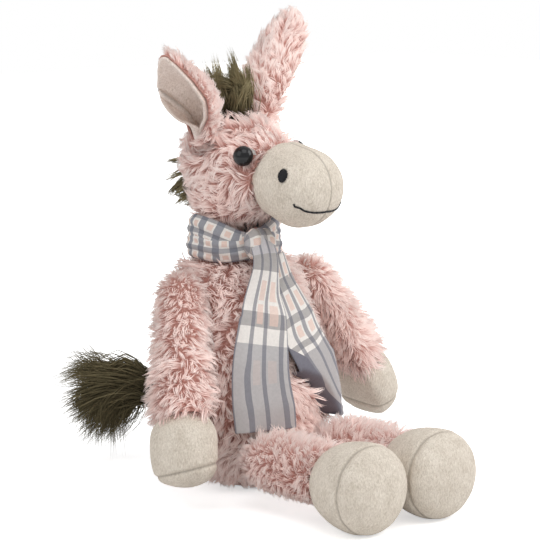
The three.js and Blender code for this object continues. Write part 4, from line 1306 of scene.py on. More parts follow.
@dataclass
class Head(Plush):
    """The head: skin, muzzle, eyes, stitched nostrils and mouth, forelock and mane."""

    throat_line: float = 166 * MM
    eye_radius: float = 6.2 * MM
    eye_dome: float = 5.2 * MM
    eye_depth: float = 3 * MM
    nostril: tuple[float, float] = (2.9 * MM, 4.7 * MM)
    nostril_threads: int = 11
    thread: float = 0.42 * MM
    mouth_thread: float = 0.75 * MM
    dart: tuple[float, float] = (5.5 * MM, 9.5 * MM)  # its start below the nostril, and its length
    forelock_tips: tuple[tuple[float, float, float], ...] = (
        (-18, -6, 24), (-10, 3, 34), (-4, -9, 29), (2, 3, 38), (8, -6, 31), (13, 2, 26),
        (-14, 8, 30), (5, 9, 31), (-24, 0, 17), (-7, -12, 18), (6, -12, 20), (17, -3, 15))
    mane_locks: int = 26
    mane_reach: float = 21  # millimetres
    seam: Plane = field(init=False)
    muzzle: VelourForm = field(init=False)
    place: Matrix = field(init=False)

    def __post_init__(self) -> None:
        """Works out the head's frame, its face seam and its muzzle."""
        panels = ("muzzle_right_panel", "muzzle_left_panel")
        self.place = axes_frame(joint_place("head_nod"), joint_axis("head_nod"), UP)
        self.seam = seam_between(("head_skin",), panels)
        self.muzzle = VelourForm("muzzle", self.name, panels, self.inner, self.seam)

    def build_skin(self) -> bpy.types.Object:
        """Makes the head's skin and cuts it off at the face seam.

        Returns:
            The skin.
        """
        super().build_skin()
        cut_off(self.skin, *self.seam)
        return self.skin

    def local(self, rows: Points) -> Points:
        """Points in the head's own frame: x across it, y to its back, z up."""
        return (rows - np.array(self.place.translation)) @ np.array(self.place.to_3x3())

    def sew(self) -> None:
        """Draws the muzzle in along its midline and its darts."""
        draw_in(self.muzzle.skin, lambda rows: np.abs(self.local(rows)[:, 0]), 1.2 * MM, 0.5 * MM)
        start, length = self.dart
        down = np.array((0, 0, -length))
        for side in Side:
            top = np.array(node_middle(f"{side.label}_nostril")) - np.array((0, 0, start))

            def gap(rows: Points, top: Points = top) -> Points:
                """Distance from the dart under a nostril."""
                share = np.clip((rows - top) @ down / (down @ down), 0, 1)
                return np.linalg.norm(rows - top - share[:, None] * down, axis=1)

            draw_in(self.muzzle.skin, gap, 1.1 * MM, 0.45 * MM)

    def eye_axis(self, side: Side) -> Plane:
        """Seat and direction of an eye, worked out from its CAD node and washer.

        Args:
            side: which eye.

        Returns:
            The middle of the dome's base, and the way the eye looks.
        """
        node = f"{side.label}_eye"
        axis = (node_middle(node) - node_middle(f"{node}_washer")).normalized()
        heights = past(node_points(node), (node_middle(node), axis))
        return node_middle(node) + axis * (heights.max() - self.eye_dome), axis

    def add_eye(self, side: Side) -> None:
        """Turns an eye's dome and sets it in the face.

        Args:
            side: which eye.
        """
        name = f"{side.label}_eye"
        seat, axis = self.eye_axis(side)
        wide, tall, deep = self.eye_radius, self.eye_dome, self.eye_depth
        arc = [(wide * math.cos(a), tall * math.sin(a)) for a in np.linspace(0, math.pi / 2, 13)]
        outline = [(0, -deep), (wide * 0.7, -deep), (wide, -1 * MM), *arc[:-1], (0, tall)]
        bm = bmesh.new()
        rim = [bm.verts.new((r, 0, h)) for r, h in outline]
        edges = [bm.edges.new(pair) for pair in zip(rim, rim[1:])]
        bmesh.ops.spin(bm, geom=[*rim, *edges], cent=(0, 0, 0), axis=(0, 0, 1), angle=2 * math.pi, steps=40,
                       use_merge=True)
        bmesh.ops.remove_doubles(bm, verts=bm.verts, dist=SAME_PLACE)
        bmesh.ops.recalc_face_normals(bm, faces=bm.faces)
        bmesh.ops.transform(bm, matrix=axes_frame(seat, Vector((1, 0, 0)), axis), verts=bm.verts)
        mesh = mesh_of(bm, name + "_dome")
        mesh.shade_smooth()
        enrol(add_object(name + "_dome", mesh, BLACK_EYE), self.name, [name])

    def grow(self) -> None:
        """Grows the pile of the head in two halves."""
        eyes = [self.eye_axis(side) for side in Side]
        front = np.array(self.seam[0])

        def keep(rows: Points) -> np.ndarray:
            """Roots clear of the scarf, the eyes and the cut face.

            Args:
                rows: roots.

            Returns:
                True for each root that stays.
            """
            free = (rows[:, 2] > self.throat_line) & (past(rows, self.seam) < -0.6 * MM)
            for seat, axis in eyes:
                high = past(rows, (seat, axis))
                off = np.linalg.norm(rows - np.array(seat) - high[:, None] * np.array(axis), axis=1)
                free &= ~((off < self.eye_radius) & (high > -12 * MM))
            return free

        def lay(rows: Points) -> Points:
            """Pile that runs back from the face and down."""
            return unit(rows - front) + np.array((0, 0.2, -0.35))

        strands = Pelt(self.skin, HEAD_PILE, lay, SEED + 1, keep).grow()
        across = self.local(strands.paths[:, 0])[:, 0]
        self.add_pile(strands.part(across < 0), "_right")
        self.add_pile(strands.part(across >= 0), "_left")

    def stitch(self) -> None:
        """Stitches the nostrils and the mouth onto the finished muzzle."""
        tree = tree_of(self.muzzle.skin)

        def laid(row: Vector, raised: float) -> tuple[Vector, Vector]:
            """Nearest place on the muzzle, raised off it, and the way out there."""
            place, normal, _, _ = tree.find_nearest(row)
            return place + normal * raised, normal

        half, tall = self.nostril
        count = self.nostril_threads
        for side in Side:
            node = f"{side.label}_nostril"
            middle, out = laid(node_middle(node), 0)
            up = (UP - out * out.z).normalized()
            beside = up.cross(out)
            rows = []
            for x in np.linspace(-0.93, 0.93, count):
                reach, raised = tall * math.sqrt(1 - x * x), 0.25 * MM + 0.35 * MM * (1 - x * x)
                rows.append([tuple(laid(middle + beside * x * half + up * y * reach, raised)[0])
                             for y in np.linspace(-1, 1, 8)])
            normals = np.array([tuple(out)] * count)
            threads = Strands(np.array(rows), normals, np.full(count, self.thread), np.full(count, 0.5))
            thread_piece(f"{node}_stitches", threads, 0.8, self.name, node)
        points = node_points("mouth_line")
        turn = np.arctan2(self.local(points)[:, 0], -self.local(points)[:, 1])
        order = np.linspace(turn.min(), turn.max(), 27)
        line = [Vector(points[np.abs(turn - a) <= (order[1] - order[0])].mean(0)) for a in order]
        low, high = min(p.z for p in line) - 1.4 * MM, max(p.z for p in line) - 2.5 * MM
        spine = [laid(Vector((p.x, p.y, low + (high - low) * abs(t) ** 4)), 0.15 * MM)
                 for p, t in zip(line, np.linspace(-1, 1, len(line)))]
        starts = range(0, len(spine) - 3, 2)
        rows = np.array([[tuple(spine[i + k][0]) for k in range(4)] for i in starts])
        normals = np.array([tuple(spine[i + 1][1]) for i in starts])
        threads = Strands(rows, normals, np.full(len(rows), self.mouth_thread), np.full(len(rows), 0.5))
        thread_piece("mouth_stitches", threads, 0.85, self.name, "mouth_line")

    def tufts(self) -> None:
        """Grows the forelock and the mane in olive locks."""
        rng = np.random.default_rng(SEED + 3)
        tree = tree_of(self.skin)
        low, high = (np.array(c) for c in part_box("forelock"))
        foot = Vector(((low[0] + high[0]) / 2, (low[1] + high[1]) / 2, low[2]))
        spread = 8 * MM
        strands = []
        for tip in (Vector(mm(*tip)) for tip in self.forelock_tips):
            near = foot + Vector((tip.x * 0.35, tip.y * 0.6, 0)) + Vector(rng.normal(0, spread * 0.15, 3))
            place = tree.find_nearest(near)[0]
            strands.append(self.lock_strands(place, foot + tip - place, 95, spread * 0.55, rng, 0.5))
        self.add_locks("forelock", strands)
        points = node_points("mane")
        points = points[points[:, 2] < np.quantile(points[:, 2], 0.5)]
        locks: list[tuple[Vector, Vector]] = []
        for row in points[rng.choice(len(points), self.mane_locks, replace=False)]:
            place, normal, _, _ = tree.find_nearest(row)
            droop = Vector((rng.normal(0, 3 * MM), 0, rng.normal(-5 * MM, 4 * MM)))
            locks.append((place, normal * self.mane_reach * MM + droop))
        strands = [self.lock_strands(place, reach, 20, 2 * MM, rng, 0.4) for place, reach in locks]
        self.add_locks("mane", strands)

    @staticmethod
    def lock_strands(foot: Vector, reach: Vector, count: int, spread: float, rng: np.random.Generator,
                     bow: float) -> Strands:
        """Strands of one pointed lock.

        Args:
            foot: where it grows.
            reach: from the foot to its tip.
            count: how many strands.
            spread: radius of its foot.
            rng: the source of chance.
            bow: how far it bows out on its way.

        Returns:
            The strands.
        """
        steps = np.linspace(0, 1, 6)[None, :, None]
        one_each = (count, 1, 3)
        start = np.array(foot) + rng.normal(0, spread * 0.6, one_each)
        tip = (np.array(foot) + np.array(reach) * rng.uniform(0.7, 1.05, (count, 1, 1))
               + rng.normal(0, 0.04 * reach.length, one_each))
        beside = np.array(reach.cross(Vector((0.3, -1, 0.2))).normalized())
        sideways = beside * reach.length * bow * rng.normal(0.3, 0.5)
        loose = rng.normal(0, 0.03 * reach.length, one_each)
        paths = start + (tip - start) * steps + (sideways + loose) * np.sin(math.pi * steps)
        out = unit(np.cross(np.array(reach), rng.normal(0, 1, (count, 3))))
        shade = np.clip(rng.uniform(0.1, 0.9) * 0.5 + rng.uniform(0, 0.5, count), 0, 1)
        return Strands(paths, out, rng.uniform(*BRUSH_RADII, count), shade)

    def add_locks(self, node: str, locks: Sequence[Strands]) -> None:
        """Joins locks into one piece that stands for a CAD node."""
        rows = [np.concatenate([getattr(lock, part.name) for lock in locks]) for part in fields(Strands)]
        brush_piece(node, Strands(*rows), self.name)


@dataclass
class Ear:
    """A long ear, folded at its root: pile outside, velour inside."""

    side: Side
    length: float = 73 * MM
    heights: tuple[float, ...] = (0, 0.12, 0.3, 0.55, 0.76, 0.9, 0.97, 1)
    half_arcs: tuple[float, ...] = (12, 14.5, 18.5, 20, 16, 9.5, 5, 1)
    folds: tuple[float, ...] = (165, 150, 105, 68, 56, 50, 45, 40)
    twist: float = 0.0
    bare_rim: int = 0
    plump: float = 0.2  # how full its layers are

    @property
    def body(self) -> str:
        """The CAD body."""
        return f"{self.side.label}_ear"

    def place(self) -> Matrix:
        """The ear's own frame, worked out from its CAD nodes: z to the tip, y out of the hollow.

        Returns:
            The matrix from that frame to the row frame.
        """
        pivot = joint_place(f"{self.body}_flop")
        back = node_points(f"{self.body}_back")
        far = np.linalg.norm(back - np.array(pivot), axis=1)
        tip = Vector(back[far > np.quantile(far, 0.96)].mean(0)) - pivot
        open_to = node_middle(f"{self.body}_lining") - node_middle(f"{self.body}_back")
        return axes_frame(pivot, open_to.cross(tip), tip) @ Matrix.Rotation(math.radians(self.twist), 4, "Z")

    @staticmethod
    def bow(share: Points) -> Points:
        """How far the ear bows forward, by share of its height."""
        return 5 * MM * np.clip(1 - share / 0.5, 0, None) ** 2 - 3.6 * MM * share * (1 - share)

    def fold_at(self, share: Points) -> tuple[Points, Points, Points]:
        """How the ear is folded at some heights.

        Args:
            share: shares of its height.

        Returns:
            Fold in radians, radius and half arc.
        """
        fold = np.radians(np.interp(share, self.heights, self.folds))
        half = np.interp(share, self.heights, self.half_arcs) * MM
        return fold, half / fold, half

    def sheet(self, name: str, out: float, finish: Finish, thickness: float = 0, wide: float = 1,
              roll: float = 0) -> bpy.types.Object:
        """A folded layer of the ear.

        Args:
            name: the piece's name.
            out: how far outside the lining's face it lies.
            finish: its finish.
            thickness: thickness of the layer, or 0 for a bare face.
            wide: its width as a share of the ear's.
            roll: how much further it goes on past the bare rim.

        Returns:
            The object.
        """
        bm = bmesh.new()
        bmesh.ops.create_grid(bm, x_segments=22, y_segments=40, size=1)
        for v in bm.verts:
            t, s = v.co.x * wide, (v.co.y + 1) / 2
            fold, radius, _ = (float(value) for value in self.fold_at(np.array(s)))
            t += self.bare_rim * roll * max(0, t * self.bare_rim) * math.exp(-((s - 0.26) / 0.28) ** 2)
            back = float(self.bow(np.array(s)))
            v.co = ((radius + out) * math.sin(fold * t),
                    radius * math.cos(fold) - (radius + out) * math.cos(fold * t) + back, s * self.length)
        even_out(bm, bm.verts)
        bmesh.ops.transform(bm, matrix=self.place(), verts=bm.verts)
        made = add_object(name, mesh_of(bm, name), finish)
        outward = np.array(self.place().to_3x3() @ Vector((0, -1, 0)))
        if (vertex_normals(made) @ outward).mean() < 0:
            made.data.flip_normals()
        if thickness:
            thicken(made, thickness)
        refine(made, 1)
        return made

    def unrolled(self, rows: Points) -> tuple[Points, Points]:
        """Where points lie on the unrolled ear.

        Args:
            rows: points in the row frame.

        Returns:
            Shares of the height, and shares of the half arc towards the bare rim.
        """
        inward = np.array(self.place().inverted())
        local = rows @ inward[:3, :3].T + inward[:3, 3]
        share = local[:, 2] / self.length
        fold, radius, _ = self.fold_at(share)
        depth = local[:, 1] - radius * np.cos(fold) - self.bow(share)
        return share, np.arctan2(local[:, 0], -depth) / fold * self.bare_rim

    def slot_gap(self, rows: Points) -> Points:
        """Distance from the pinched fold, which runs from the bare rim to the root.

        Args:
            rows: points in the row frame.

        Returns:
            The distances, measured round the ear.
        """
        share, aside = self.unrolled(rows)
        line = np.interp(share, (0, 0.15, 0.35, 0.55, 0.62), (0.5, 0.75, 1.0, 1.22, 1.4))
        return np.abs(aside - line) * self.fold_at(share)[2] + np.maximum(share - 0.5, 0) * self.length * 0.4

    def build(self) -> None:
        """Builds lining, back and pile."""
        # the lining takes the velour with painted light
        lining = self.sheet(f"{self.body}_velour", 0, EAR_VELOUR_PAINTED_LIGHT, 1.8 * MM, 1.08, 0.5)
        if self.bare_rim:
            draw_in(lining, self.slot_gap, 2.2 * MM, 3.2 * MM)
        enrol(lining, self.body, [f"{self.body}_lining"])
        back = self.sheet(f"{self.body}_skin", 1.9 * MM, PINK_BACKING, 1.4 * MM, 0.97)
        enrol(back, self.body, [f"{self.body}_back"])
        face = self.sheet(f"{self.body}_face", 2.4 * MM, PINK_BACKING)

        def trim(rows: Points) -> Points:
            """Short pile along the rim where the lining is rolled over."""
            return np.clip(1 - (self.unrolled(rows)[1] - 0.3) / 0.3, 0.08, 1)

        lay = steady(self.place().to_3x3() @ UP)
        strands = Pelt(face, EAR_PILE, lay, SEED + 20 + self.side.value, None, trim).grow()
        bpy.data.objects.remove(face)
        pile_piece(f"{self.body}_pile", strands, self.body)


@dataclass
class Limb(Plush):
    """An arm or a leg: a pile sleeve with a velour hoof sewn to its end."""

    tuck: float = 6 * MM
    cuff: float = 0.3
    sole_tilt: float = 0.0
    hoof_nodes: tuple[str, ...] = ()
    hoof_ease: int = 12
    hoof_swell: float = 1.0 * MM
    floor_line: float = 7 * MM
    cuff_tuck: tuple[float, float] = (4.4 * MM, 5.5 * MM)  # how deep the hoof goes in, over what length
    tip: VelourForm = field(init=False)
    seam: Plane = field(init=False)

    def __post_init__(self) -> None:
        """Works out the seam at the wrist or ankle and the hoof."""
        self.seam = seam_between(self.nodes, self.hoof_nodes[:1])
        self.tip = VelourForm(f"{self.name}_hoof", self.name, self.hoof_nodes, self.inner, self.seam,
                              self.hoof_ease, -self.hoof_swell)

    def build_skin(self) -> bpy.types.Object:
        """Makes the sleeve's skin and cuts it off at the seam.

        Returns:
            The skin.
        """
        super().build_skin()
        cut_off(self.skin, *self.seam)
        return self.skin

    def sew(self) -> None:
        """Tucks the hoof into the cuff and draws it in along the seam of its sole."""
        places, normals = vertex_places(self.tip.skin), vertex_normals(self.tip.skin)
        ahead = np.array(self.seam[1])
        square = normals - (normals @ ahead)[:, None] * ahead
        depth, fade = self.cuff_tuck
        drawn = depth * np.exp(-np.maximum(past(places, self.seam), 0) / fade)
        set_places(self.tip.skin, places - square * drawn[:, None])
        place, down = seam_between(self.hoof_nodes[:1], self.hoof_nodes[1:])
        down = Matrix.Rotation(math.radians(self.sole_tilt), 3, Vector((0, -1, 0))) @ down
        draw_in(self.tip.skin, lambda rows: np.abs(past(rows, (place, down))), 1.3 * MM, 1.0 * MM)

    def grow(self, others: Sequence[BVHTree]) -> None:
        """Grows the sleeve's pile towards the hoof.

        Args:
            others: skins that cover some of it.
        """
        def keep(rows: Points) -> np.ndarray:
            """Roots behind the seam, off the floor and outside the body."""
            behind = (past(rows, self.seam) < -0.5 * MM) & (rows[:, 2] > self.floor_line)
            return behind & outside(rows, others)

        def trim(rows: Points) -> Points:
            """Longer pile towards the cuff, shorter by the floor.

            Args:
                rows: roots.

            Returns:
                Shares of the pile's length.
            """
            low = np.clip((rows[:, 2] - 8 * MM) / (17 * MM), 0.15, 1)
            lengths = [1 + self.cuff, 1 + 0.6 * self.cuff, 1, 0.75]
            return low * np.interp(-past(rows, self.seam), mm(0, 25, 60, 85), lengths)

        def lean(rows: Points) -> Points:
            """Pile that lies over the hoof at the cuff."""
            return 42 * np.exp(-(past(rows, self.seam) / (9 * MM)) ** 2)

        seed = SEED + sum(map(ord, self.name))
        pelt = Pelt(self.skin, LIMB_PILE, steady(self.seam[1]), seed, keep, trim, lean)
        self.add_pile(pelt.grow().off_floor())


@dataclass
class Tail(Plush):
    """A short stub with a brush of long straight pile."""

    depth: float = 2.5 * MM
    strands: int = 3000
    locks: int = 26
    reach: float = 49 * MM
    lift: tuple[float, float, float] = (-0.5, 0.74, 0.45)
    arch: float = 30 * MM
    fan: tuple[float, float] = (-80, -4)
    swing: float = 24
    wave: float = 3.2 * MM
    foot: float = 2.6 * MM

    def grow(self, others: Sequence[BVHTree]) -> None:
        """Grows the stub's pile and the brush.

        Args:
            others: skins that cover some of it.
        """
        tip = node_middle("tail_brush") - joint_place("tail_wag")
        stub = Pelt(self.skin, EAR_PILE, steady(tip), SEED + 40, lambda rows: outside(rows, others))
        self.add_pile(stub.grow())
        rng = np.random.default_rng(SEED + 41)
        foot, _ = seam_between(("tail_root",), ("tail_brush",), 4 * MM)
        level = Vector((tip.x, tip.y, 0)).normalized()
        slope = np.radians(rng.uniform(*self.fan, self.locks))
        swing = np.radians(rng.normal(0, self.swing, self.locks))
        aside = np.array(level.cross(UP))
        aims = np.cos(swing)[:, None] * np.array(level) + np.sin(swing)[:, None] * aside
        aims = np.cos(slope)[:, None] * aims
        aims[:, 2] = np.sin(slope)
        owner = rng.integers(0, self.locks, self.strands)
        aim = unit(aims[owner] + rng.normal(0, 0.1, (self.strands, 3)))
        length = self.reach * rng.uniform(0.85, 1.1, self.locks)[owner] * rng.uniform(0.6, 1.0, self.strands)
        start = np.array(foot) + rng.normal(0, self.foot, (self.strands, 3))
        bend = start + unit(np.array(self.lift)[None]) * self.arch
        bend = bend + rng.normal(0, 4.5 * MM, (self.locks, 3))[owner]
        steps = np.linspace(0, 1, 7)[None, :, None]
        ends = (bend + aim * length[:, None])[:, None]
        paths = ((1 - steps) ** 2 * start[:, None] + 2 * steps * (1 - steps) * bend[:, None]
                 + steps ** 2 * ends)
        paths += rng.normal(0, 1.3 * MM, (self.strands, 1, 3)) * np.sin(math.pi * steps)
        waves = self.wave * rng.normal(0, 1, (self.locks, 1, 3))[owner]
        paths += waves * np.sin(2.4 * math.pi * steps ** 1.5) * steps
        out = unit(np.cross(aim, rng.normal(0, 1, aim.shape)))
        # painted shade: the brush's strands take the darker olive tones, for the shade inside the brush
        shade = 0.2 * rng.random(self.locks)[owner] + 0.35 * rng.random(self.strands) ** 3
        brush = Strands(paths, out, rng.uniform(*BRUSH_RADII, self.strands), shade).off_floor()
        brush_piece("tail_brush", brush, self.name)


@dataclass
class Scarf:
    """A narrow plaid scarf: two turns round the neck, a knot and two loose ends."""

    axis: tuple[float, float] = (0.0, 14 * MM)
    collar_radius: float = 26.4 * MM
    knot_angle: float = 13
    knot_radii: tuple[float, float] = (7.5, 8.2)  # millimetres ahead and up
    turns: tuple[tuple[str, float, float, float, float], ...] = (  # name, height, dip, half width, way out
        ("upper", 160.5, -8, 8.5, 0.4), ("lower", 149.5, 4, 8.0, 1.2))
    thickness: float = 1.3 * MM
    belly: float = 60 * MM  # below this height the cloth hangs straight down
    torso: BVHTree = field(init=False)
    cloths: list[bpy.types.Object] = field(default_factory=list)

    def __post_init__(self) -> None:
        """Keeps a search tree of the torso's CAD node."""
        self.torso = tree_of(frame["nodes"]["torso_skin"])

    def at(self, angle: float, radius: float, height: float) -> Vector:
        """A place round the neck, by degrees from straight ahead towards the toy's right."""
        a = math.radians(angle)
        return Vector((self.axis[0] - radius * math.sin(a), self.axis[1] - radius * math.cos(a), height))

    @staticmethod
    def spine(node: str, heights: Sequence[float], further: float) -> list[Vector]:
        """Middle line of a CAD end of the scarf, from the knot to the hem.

        Args:
            node: the CAD node.
            heights: heights in millimetres, from the top down.
            further: millimetres by which the hem goes on past the last height.

        Returns:
            The places.
        """
        points = node_points(node)
        line = [Vector(points[np.abs(points[:, 2] - h * MM) < 6 * MM].mean(0)) for h in heights]
        return [*line, line[-1] + (line[-1] - line[-2]).normalized() * further * MM]

    def held_off(self, place: Vector, clear: float) -> Vector:
        """A place pushed away from the torso, to a least distance.

        Args:
            place: the place.
            clear: the distance.

        Returns:
            The new place.
        """
        over = Vector((place.x, place.y, max(place.z, self.belly)))
        near, normal, _, _ = self.torso.find_nearest(over)
        push = Vector((normal.x, normal.y, 0)) if normal.z < 0.9 else normal
        return place + push.normalized() * max(0, clear - (over - near).dot(normal))

    def strip(self, name: str, path: Points, halves: Sequence[float], finish: Finish,
              shape: Callable[[float, float], float], out: Points | None = None, clear: Sequence[float] = (),
              drift: Sequence[float] = (0, 0)) -> bpy.types.Object:
        """A strip of cloth along a path.

        Args:
            name: the piece's name.
            path: places along its middle.
            halves: its half width, at even steps along it.
            finish: its finish.
            shape: how far it stands out, for a share across (-1 to 1) and along (0 to 1).
            out: the way out at each place, or None for away from the neck's axis.
            clear: least distance from the torso at both ends, or nothing.
            drift: how far its middle moves sideways, at even steps along it.

        Returns:
            The object.
        """
        count = len(path)
        ahead = unit(np.gradient(path, axis=0))
        if out is None:
            out = path - np.array((*self.axis, 0))
            out[:, 2] = 0
        out = laid_flat(out, ahead)
        across = np.cross(out, ahead)
        share = np.linspace(0, 1, count)
        wide, moved = (np.interp(share, np.linspace(0, 1, len(row)), row) for row in (halves, drift))
        bm = bmesh.new()
        bmesh.ops.create_grid(bm, x_segments=24, y_segments=count - 1, size=1)
        chart = bm.loops.layers.uv.new(BAKE_MAP)
        for loop in (loop for face in bm.faces for loop in face.loops):
            loop[chart].uv = ((loop.vert.co.x + 1) / 2, (loop.vert.co.y + 1) / 2)
        for v in bm.verts:
            t, s = v.co.x, (v.co.y + 1) / 2
            i = int(round(s * (count - 1)))
            place = Vector(path[i] + across[i] * (wide[i] * t + moved[i]) + out[i] * shape(t, s))
            v.co = self.held_off(place, float(np.interp(s, (0, 1), clear))) if clear else place
        inner = [v for v in bm.verts if clear and not v.is_boundary]
        for _ in range(6):
            even_out(bm, inner)
        made = add_object(name, mesh_of(bm, name), finish)
        thicken(made, self.thickness)
        refine(made, 1)
        self.cloths.append(made)
        return made

    def build(self) -> None:
        """Builds the turns, the knot and the ends."""
        self.build_wrap()
        self.build_knot()
        self.build_ends()

    def build_wrap(self) -> None:
        """Builds the two turns, which cross at the knot."""
        front = self.knot_angle
        turns = []
        for label, base, dip, width, radius in self.turns:
            angles = np.linspace(front + 4, front + 356, 120)
            off = np.minimum(np.abs(angles - front), np.abs(angles - front - 360))
            heights = base + dip * np.exp(-(off / 42) ** 2) + 1.2 * np.sin(np.radians(3 * angles + base))
            far = self.collar_radius + radius * MM
            path = np.array([tuple(self.at(a, far, h * MM)) for a, h in zip(angles, heights)])

            def shape(t: float, s: float, key: float = base) -> float:
                """Folded edges turned in, with gathers.

                Args:
                    t: share across.
                    s: share along.
                    key: makes the gathers of a turn its own.

                Returns:
                    How far the cloth stands out.
                """
                gather = math.sin(9 * t + 2.2 * math.sin(11 * s + key)) * 0.5
                gather += math.sin(31 * s + 2.5 * t + key) * 0.35
                return (1.4 - 3.6 * t * t * t * t + gather) * MM

            turns.append(self.strip(f"scarf_wrap_{label}", path, mm(width, width), WRAP_PLAID, shape))
        enrol(turns[0], "torso", ["scarf_collar"])
        enrol(turns[1], "torso")

    def build_knot(self) -> None:
        """Builds the loop of cloth that the ends pass through."""
        middle = node_middle("scarf_knot")
        ahead = (middle - self.at(self.knot_angle, 0, middle.z)).normalized()
        deep, tall = self.knot_radii
        path = np.array([
            tuple(middle + ahead * deep * MM * math.cos(a) + Vector((0, 0, tall * MM * math.sin(a))))
            for a in np.radians(np.linspace(160, -160, 64))])

        def shape(t: float, s: float) -> float:
            """Edges drawn in, so that the loop closes at its sides."""
            return (0.6 - 7.4 * t ** 4 + 0.5 * math.sin(14 * t + 3 * s)) * MM

        knot = self.strip("scarf_knot_loop", path, mm(9, 10.5, 9), KNOT_PLAID, shape, path - np.array(middle))
        enrol(knot, "torso", ["scarf_knot"])

    def build_ends(self) -> None:
        """Builds the two ends that hang down the chest."""
        def front_shape(t: float, s: float) -> float:
            """Gathered at the top, lying flat with lifted edges lower down."""
            pleats = (0.9 * math.sin(10 * t + 1.5) - 2.2 * t * t) * max(0, 1 - 2.6 * s)
            return (pleats - 2.0 * t * t + 0.7 * math.sin(3.2 * t + 9 * s) * min(1, 2 * s)) * MM

        def side_shape(t: float, s: float) -> float:
            """Folded along a crease, which parts the plaid from the plain lining.

            Args:
                t: share across.
                s: share along.

            Returns:
                How far the cloth stands out.
            """
            crease = float(np.interp(s, [0.4, 0.55, 1], [-1, -0.3, 0]))
            slope = (1 + t) / (1 + crease) if t < crease else (1 - t) / (1 - crease)
            rise = 1.6 * min(1, max(0, (s - 0.35) / 0.25)) * slope
            return (rise - 1.5 * t * t + 0.6 * math.sin(5 * t + 7 * s)) * MM

        front = smooth_path(self.spine("scarf_front_end", (160, 154, 140, 115, 85, 52), 6), 80)
        cloth = self.strip("scarf_front_cloth", front, mm(7.5, 9, 13.5, 15.5, 16.5, 17.3), FRONT_PLAID,
                           front_shape, None, mm(9, 7.5))
        enrol(cloth, "scarf_front", ["scarf_front_end"])
        side = smooth_path(self.spine("scarf_side_end", (146, 126, 95, 70, 50), 12), 70)
        facing = np.tile((0.15, -1.0, 0.0), (len(side), 1))
        cloth = self.strip("scarf_side_cloth", side, mm(9, 13, 17, 18, 14, 6), SIDE_PLAID, side_shape,
                           facing, mm(6, 8), mm(0, -5, -11, -8, -5, 5))
        enrol(cloth, "scarf_side", ["scarf_side_end"])


@dataclass
class Donkey:
    """The whole toy."""

    stuffing: Stuffing = field(default_factory=Stuffing)
    hand_tilt: float = 16
    core_depth: float = 5 * MM
    neck_core_depth: float = 2 * MM

    def limb(self, side: Side, kind: Kind) -> Limb:
        """A limb, still to be built.

        Args:
            side: the side it is on.
            kind: arm or leg.

        Returns:
            The limb.
        """
        name = f"{side.label}_{kind.label}"
        arm = kind is Kind.ARM
        return Limb(name, (f"{name}_sleeve",), (f"{name}_stuffing",), cuff=0.55 if arm else 0.3,
                    sole_tilt=-side.value * self.hand_tilt if arm else 0,
                    hoof_nodes=tuple(f"{side.label}_{word}" for word in kind.value))

    def build(self) -> None:
        """Builds every sub-assembly and dresses what stays of the CAD model."""
        torso = Torso("torso", ("torso_skin",), ("torso_stuffing", "bean_pouch"), tuck=7 * MM, heel=26 * MM)
        head = Head("head", ("head_skin",), ("head_stuffing",))
        limbs = [self.limb(side, kind) for side in Side for kind in Kind]
        tail = Tail("tail", ("tail_root",), ())
        plush = [torso, head, *limbs, tail]
        velour = [head.muzzle, *(limb.tip for limb in limbs)]
        skins = [form.build_skin() for form in (*plush, *velour)]
        self.stuffing.swell(skins)
        for form in (*plush, *velour):
            form.settle_skin()
        for form in (head, *limbs):
            form.sew()
        trees = {form.name: tree_of(form.skin) for form in plush}
        scarf = Scarf()
        scarf.build()
        covers = [trees[name] for name in trees if name not in ("torso", "head")]
        torso.grow(covers, [tree_of(cloth) for cloth in scarf.cloths])
        head.grow()
        for form in (*limbs, tail):
            form.grow([trees["torso"]])
        right = Ear(Side.RIGHT, half_arcs=(13, 17, 21, 20.5, 14.5, 8.5, 4.5, 1), twist=-20, bare_rim=1)
        left = Ear(Side.LEFT, 80 * MM, half_arcs=(12, 15, 19.5, 22, 19, 12, 7, 1.5))
        for ear in (right, left):
            head.add_eye(ear.side)
            ear.build()
        head.stitch()
        head.tufts()
        self.add_cores(["torso", "neck", "head", *(limb.name for limb in limbs)])
        self.dress_hidden()

    def add_cores(self, bodies: Sequence[str]) -> None:
        """Makes the fibre stuffing, pressed well inside the skins.

        Args:
            bodies: the bodies that are stuffed.
        """
        for body in bodies:
            node = f"{body}_stuffing"
            core = fused(f"{body}_fibre", [node], WHITE_FIBRE)
            sink(core, self.neck_core_depth if body == "neck" else self.core_depth)
            if body == "torso":
                tuck_under(core, 9 * MM, 30 * MM)
            enrol(core, body, [node])

    @staticmethod
    def dress_hidden() -> None:
        """Gives each CAD node that stays a finish of its own."""
        for name, node in frame["nodes"].items():
            finish = WHITE_WASHER if "washer" in name else POUCH_COTTON if "pouch" in name else WHITE_FIBRE
            for slot in node.material_slots:
                slot.material = finish.material()


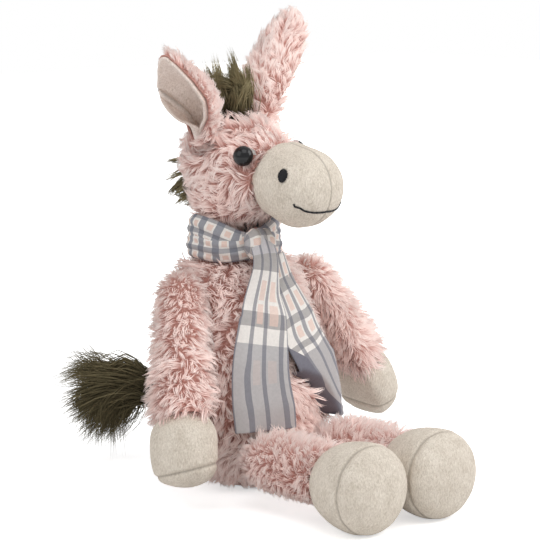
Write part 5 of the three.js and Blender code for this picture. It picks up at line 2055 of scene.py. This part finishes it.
@dataclass
class Studio:
    """Plain white studio: soft boxes, a pale floor and the camera."""

    camera_place: tuple[float, float, float] = (-0.9356, -1.1150, 0.3629)
    camera_aim: tuple[float, float, float] = (0.0310, 0.0164, 0.1302)
    lens: float = 158.7
    sensor: float = 36
    lamp_aim: tuple[float, float, float] = (0, -0.02, 0.13)
    lamp_off: float = 1.35
    lamp_size: float = 0.9
    lamps: tuple[tuple[str, float, float, float], ...] = (  # name, azimuth, elevation and watts
        ("key", 44, 34, 9.0), ("fill", -98, 32, 3.1), ("top", -34, 62, 5.0))
    ambient: float = 0.58
    floor_half: float = 3

    @staticmethod
    def toward(azimuth: float, elevation: float) -> Vector:
        """Unit direction from the toy, by degrees: azimuth 0 is straight ahead and grows to its left."""
        a, e = math.radians(azimuth), math.radians(elevation)
        return Vector((math.sin(a) * math.cos(e), -math.cos(a) * math.cos(e), math.sin(e)))

    @staticmethod
    def hang(name: str, what: bpy.types.ID, place: Vector, aim: Vector) -> bpy.types.Object:
        """Adds a lamp or a camera that points at something.

        Args:
            name: its name.
            what: the lamp's or the camera's data.
            place: where it hangs.
            aim: what it points at.

        Returns:
            The object.
        """
        made = bpy.data.objects.new(name, what)
        made.location = place
        made.rotation_euler = (aim - place).to_track_quat("-Z", "Y").to_euler()
        bpy.context.scene.collection.objects.link(made)
        return made

    def build(self) -> None:
        """Sets floor, world, lamps and camera."""
        scene = bpy.context.scene
        scene.view_settings.view_transform = "Standard"
        bm = bmesh.new()
        bmesh.ops.create_grid(bm, x_segments=1, y_segments=1, size=self.floor_half)
        add_object("floor", mesh_of(bm, "floor"), PALE_FLOOR)
        scene.world = bpy.data.worlds.new("studio")
        scene.world.use_nodes = True
        wires = Wires(scene.world.node_tree)
        wires.feed(wires.tree.nodes["Background"], {
            "Color": (1, 1, 1, 1), "Strength": wires.span(wires.seen_ray(), end=(self.ambient, 1.0))})
        aim = Vector(self.lamp_aim)
        for name, azimuth, elevation, power in self.lamps:
            light = bpy.data.lights.new(name, "AREA")
            light.energy, light.size = power, self.lamp_size
            self.hang(name, light, aim + self.toward(azimuth, elevation) * self.lamp_off, aim)
        camera = bpy.data.cameras.new("camera")
        camera.lens, camera.sensor_width = self.lens, self.sensor
        scene.camera = self.hang("camera", camera, Vector(self.camera_place), Vector(self.camera_aim))


def main() -> None:
    """Builds the toy and its studio."""
    logging.basicConfig(level=logging.INFO, format="%(message)s")
    Donkey().build()
    Studio().build()


if __name__ == "__main__":
    main()
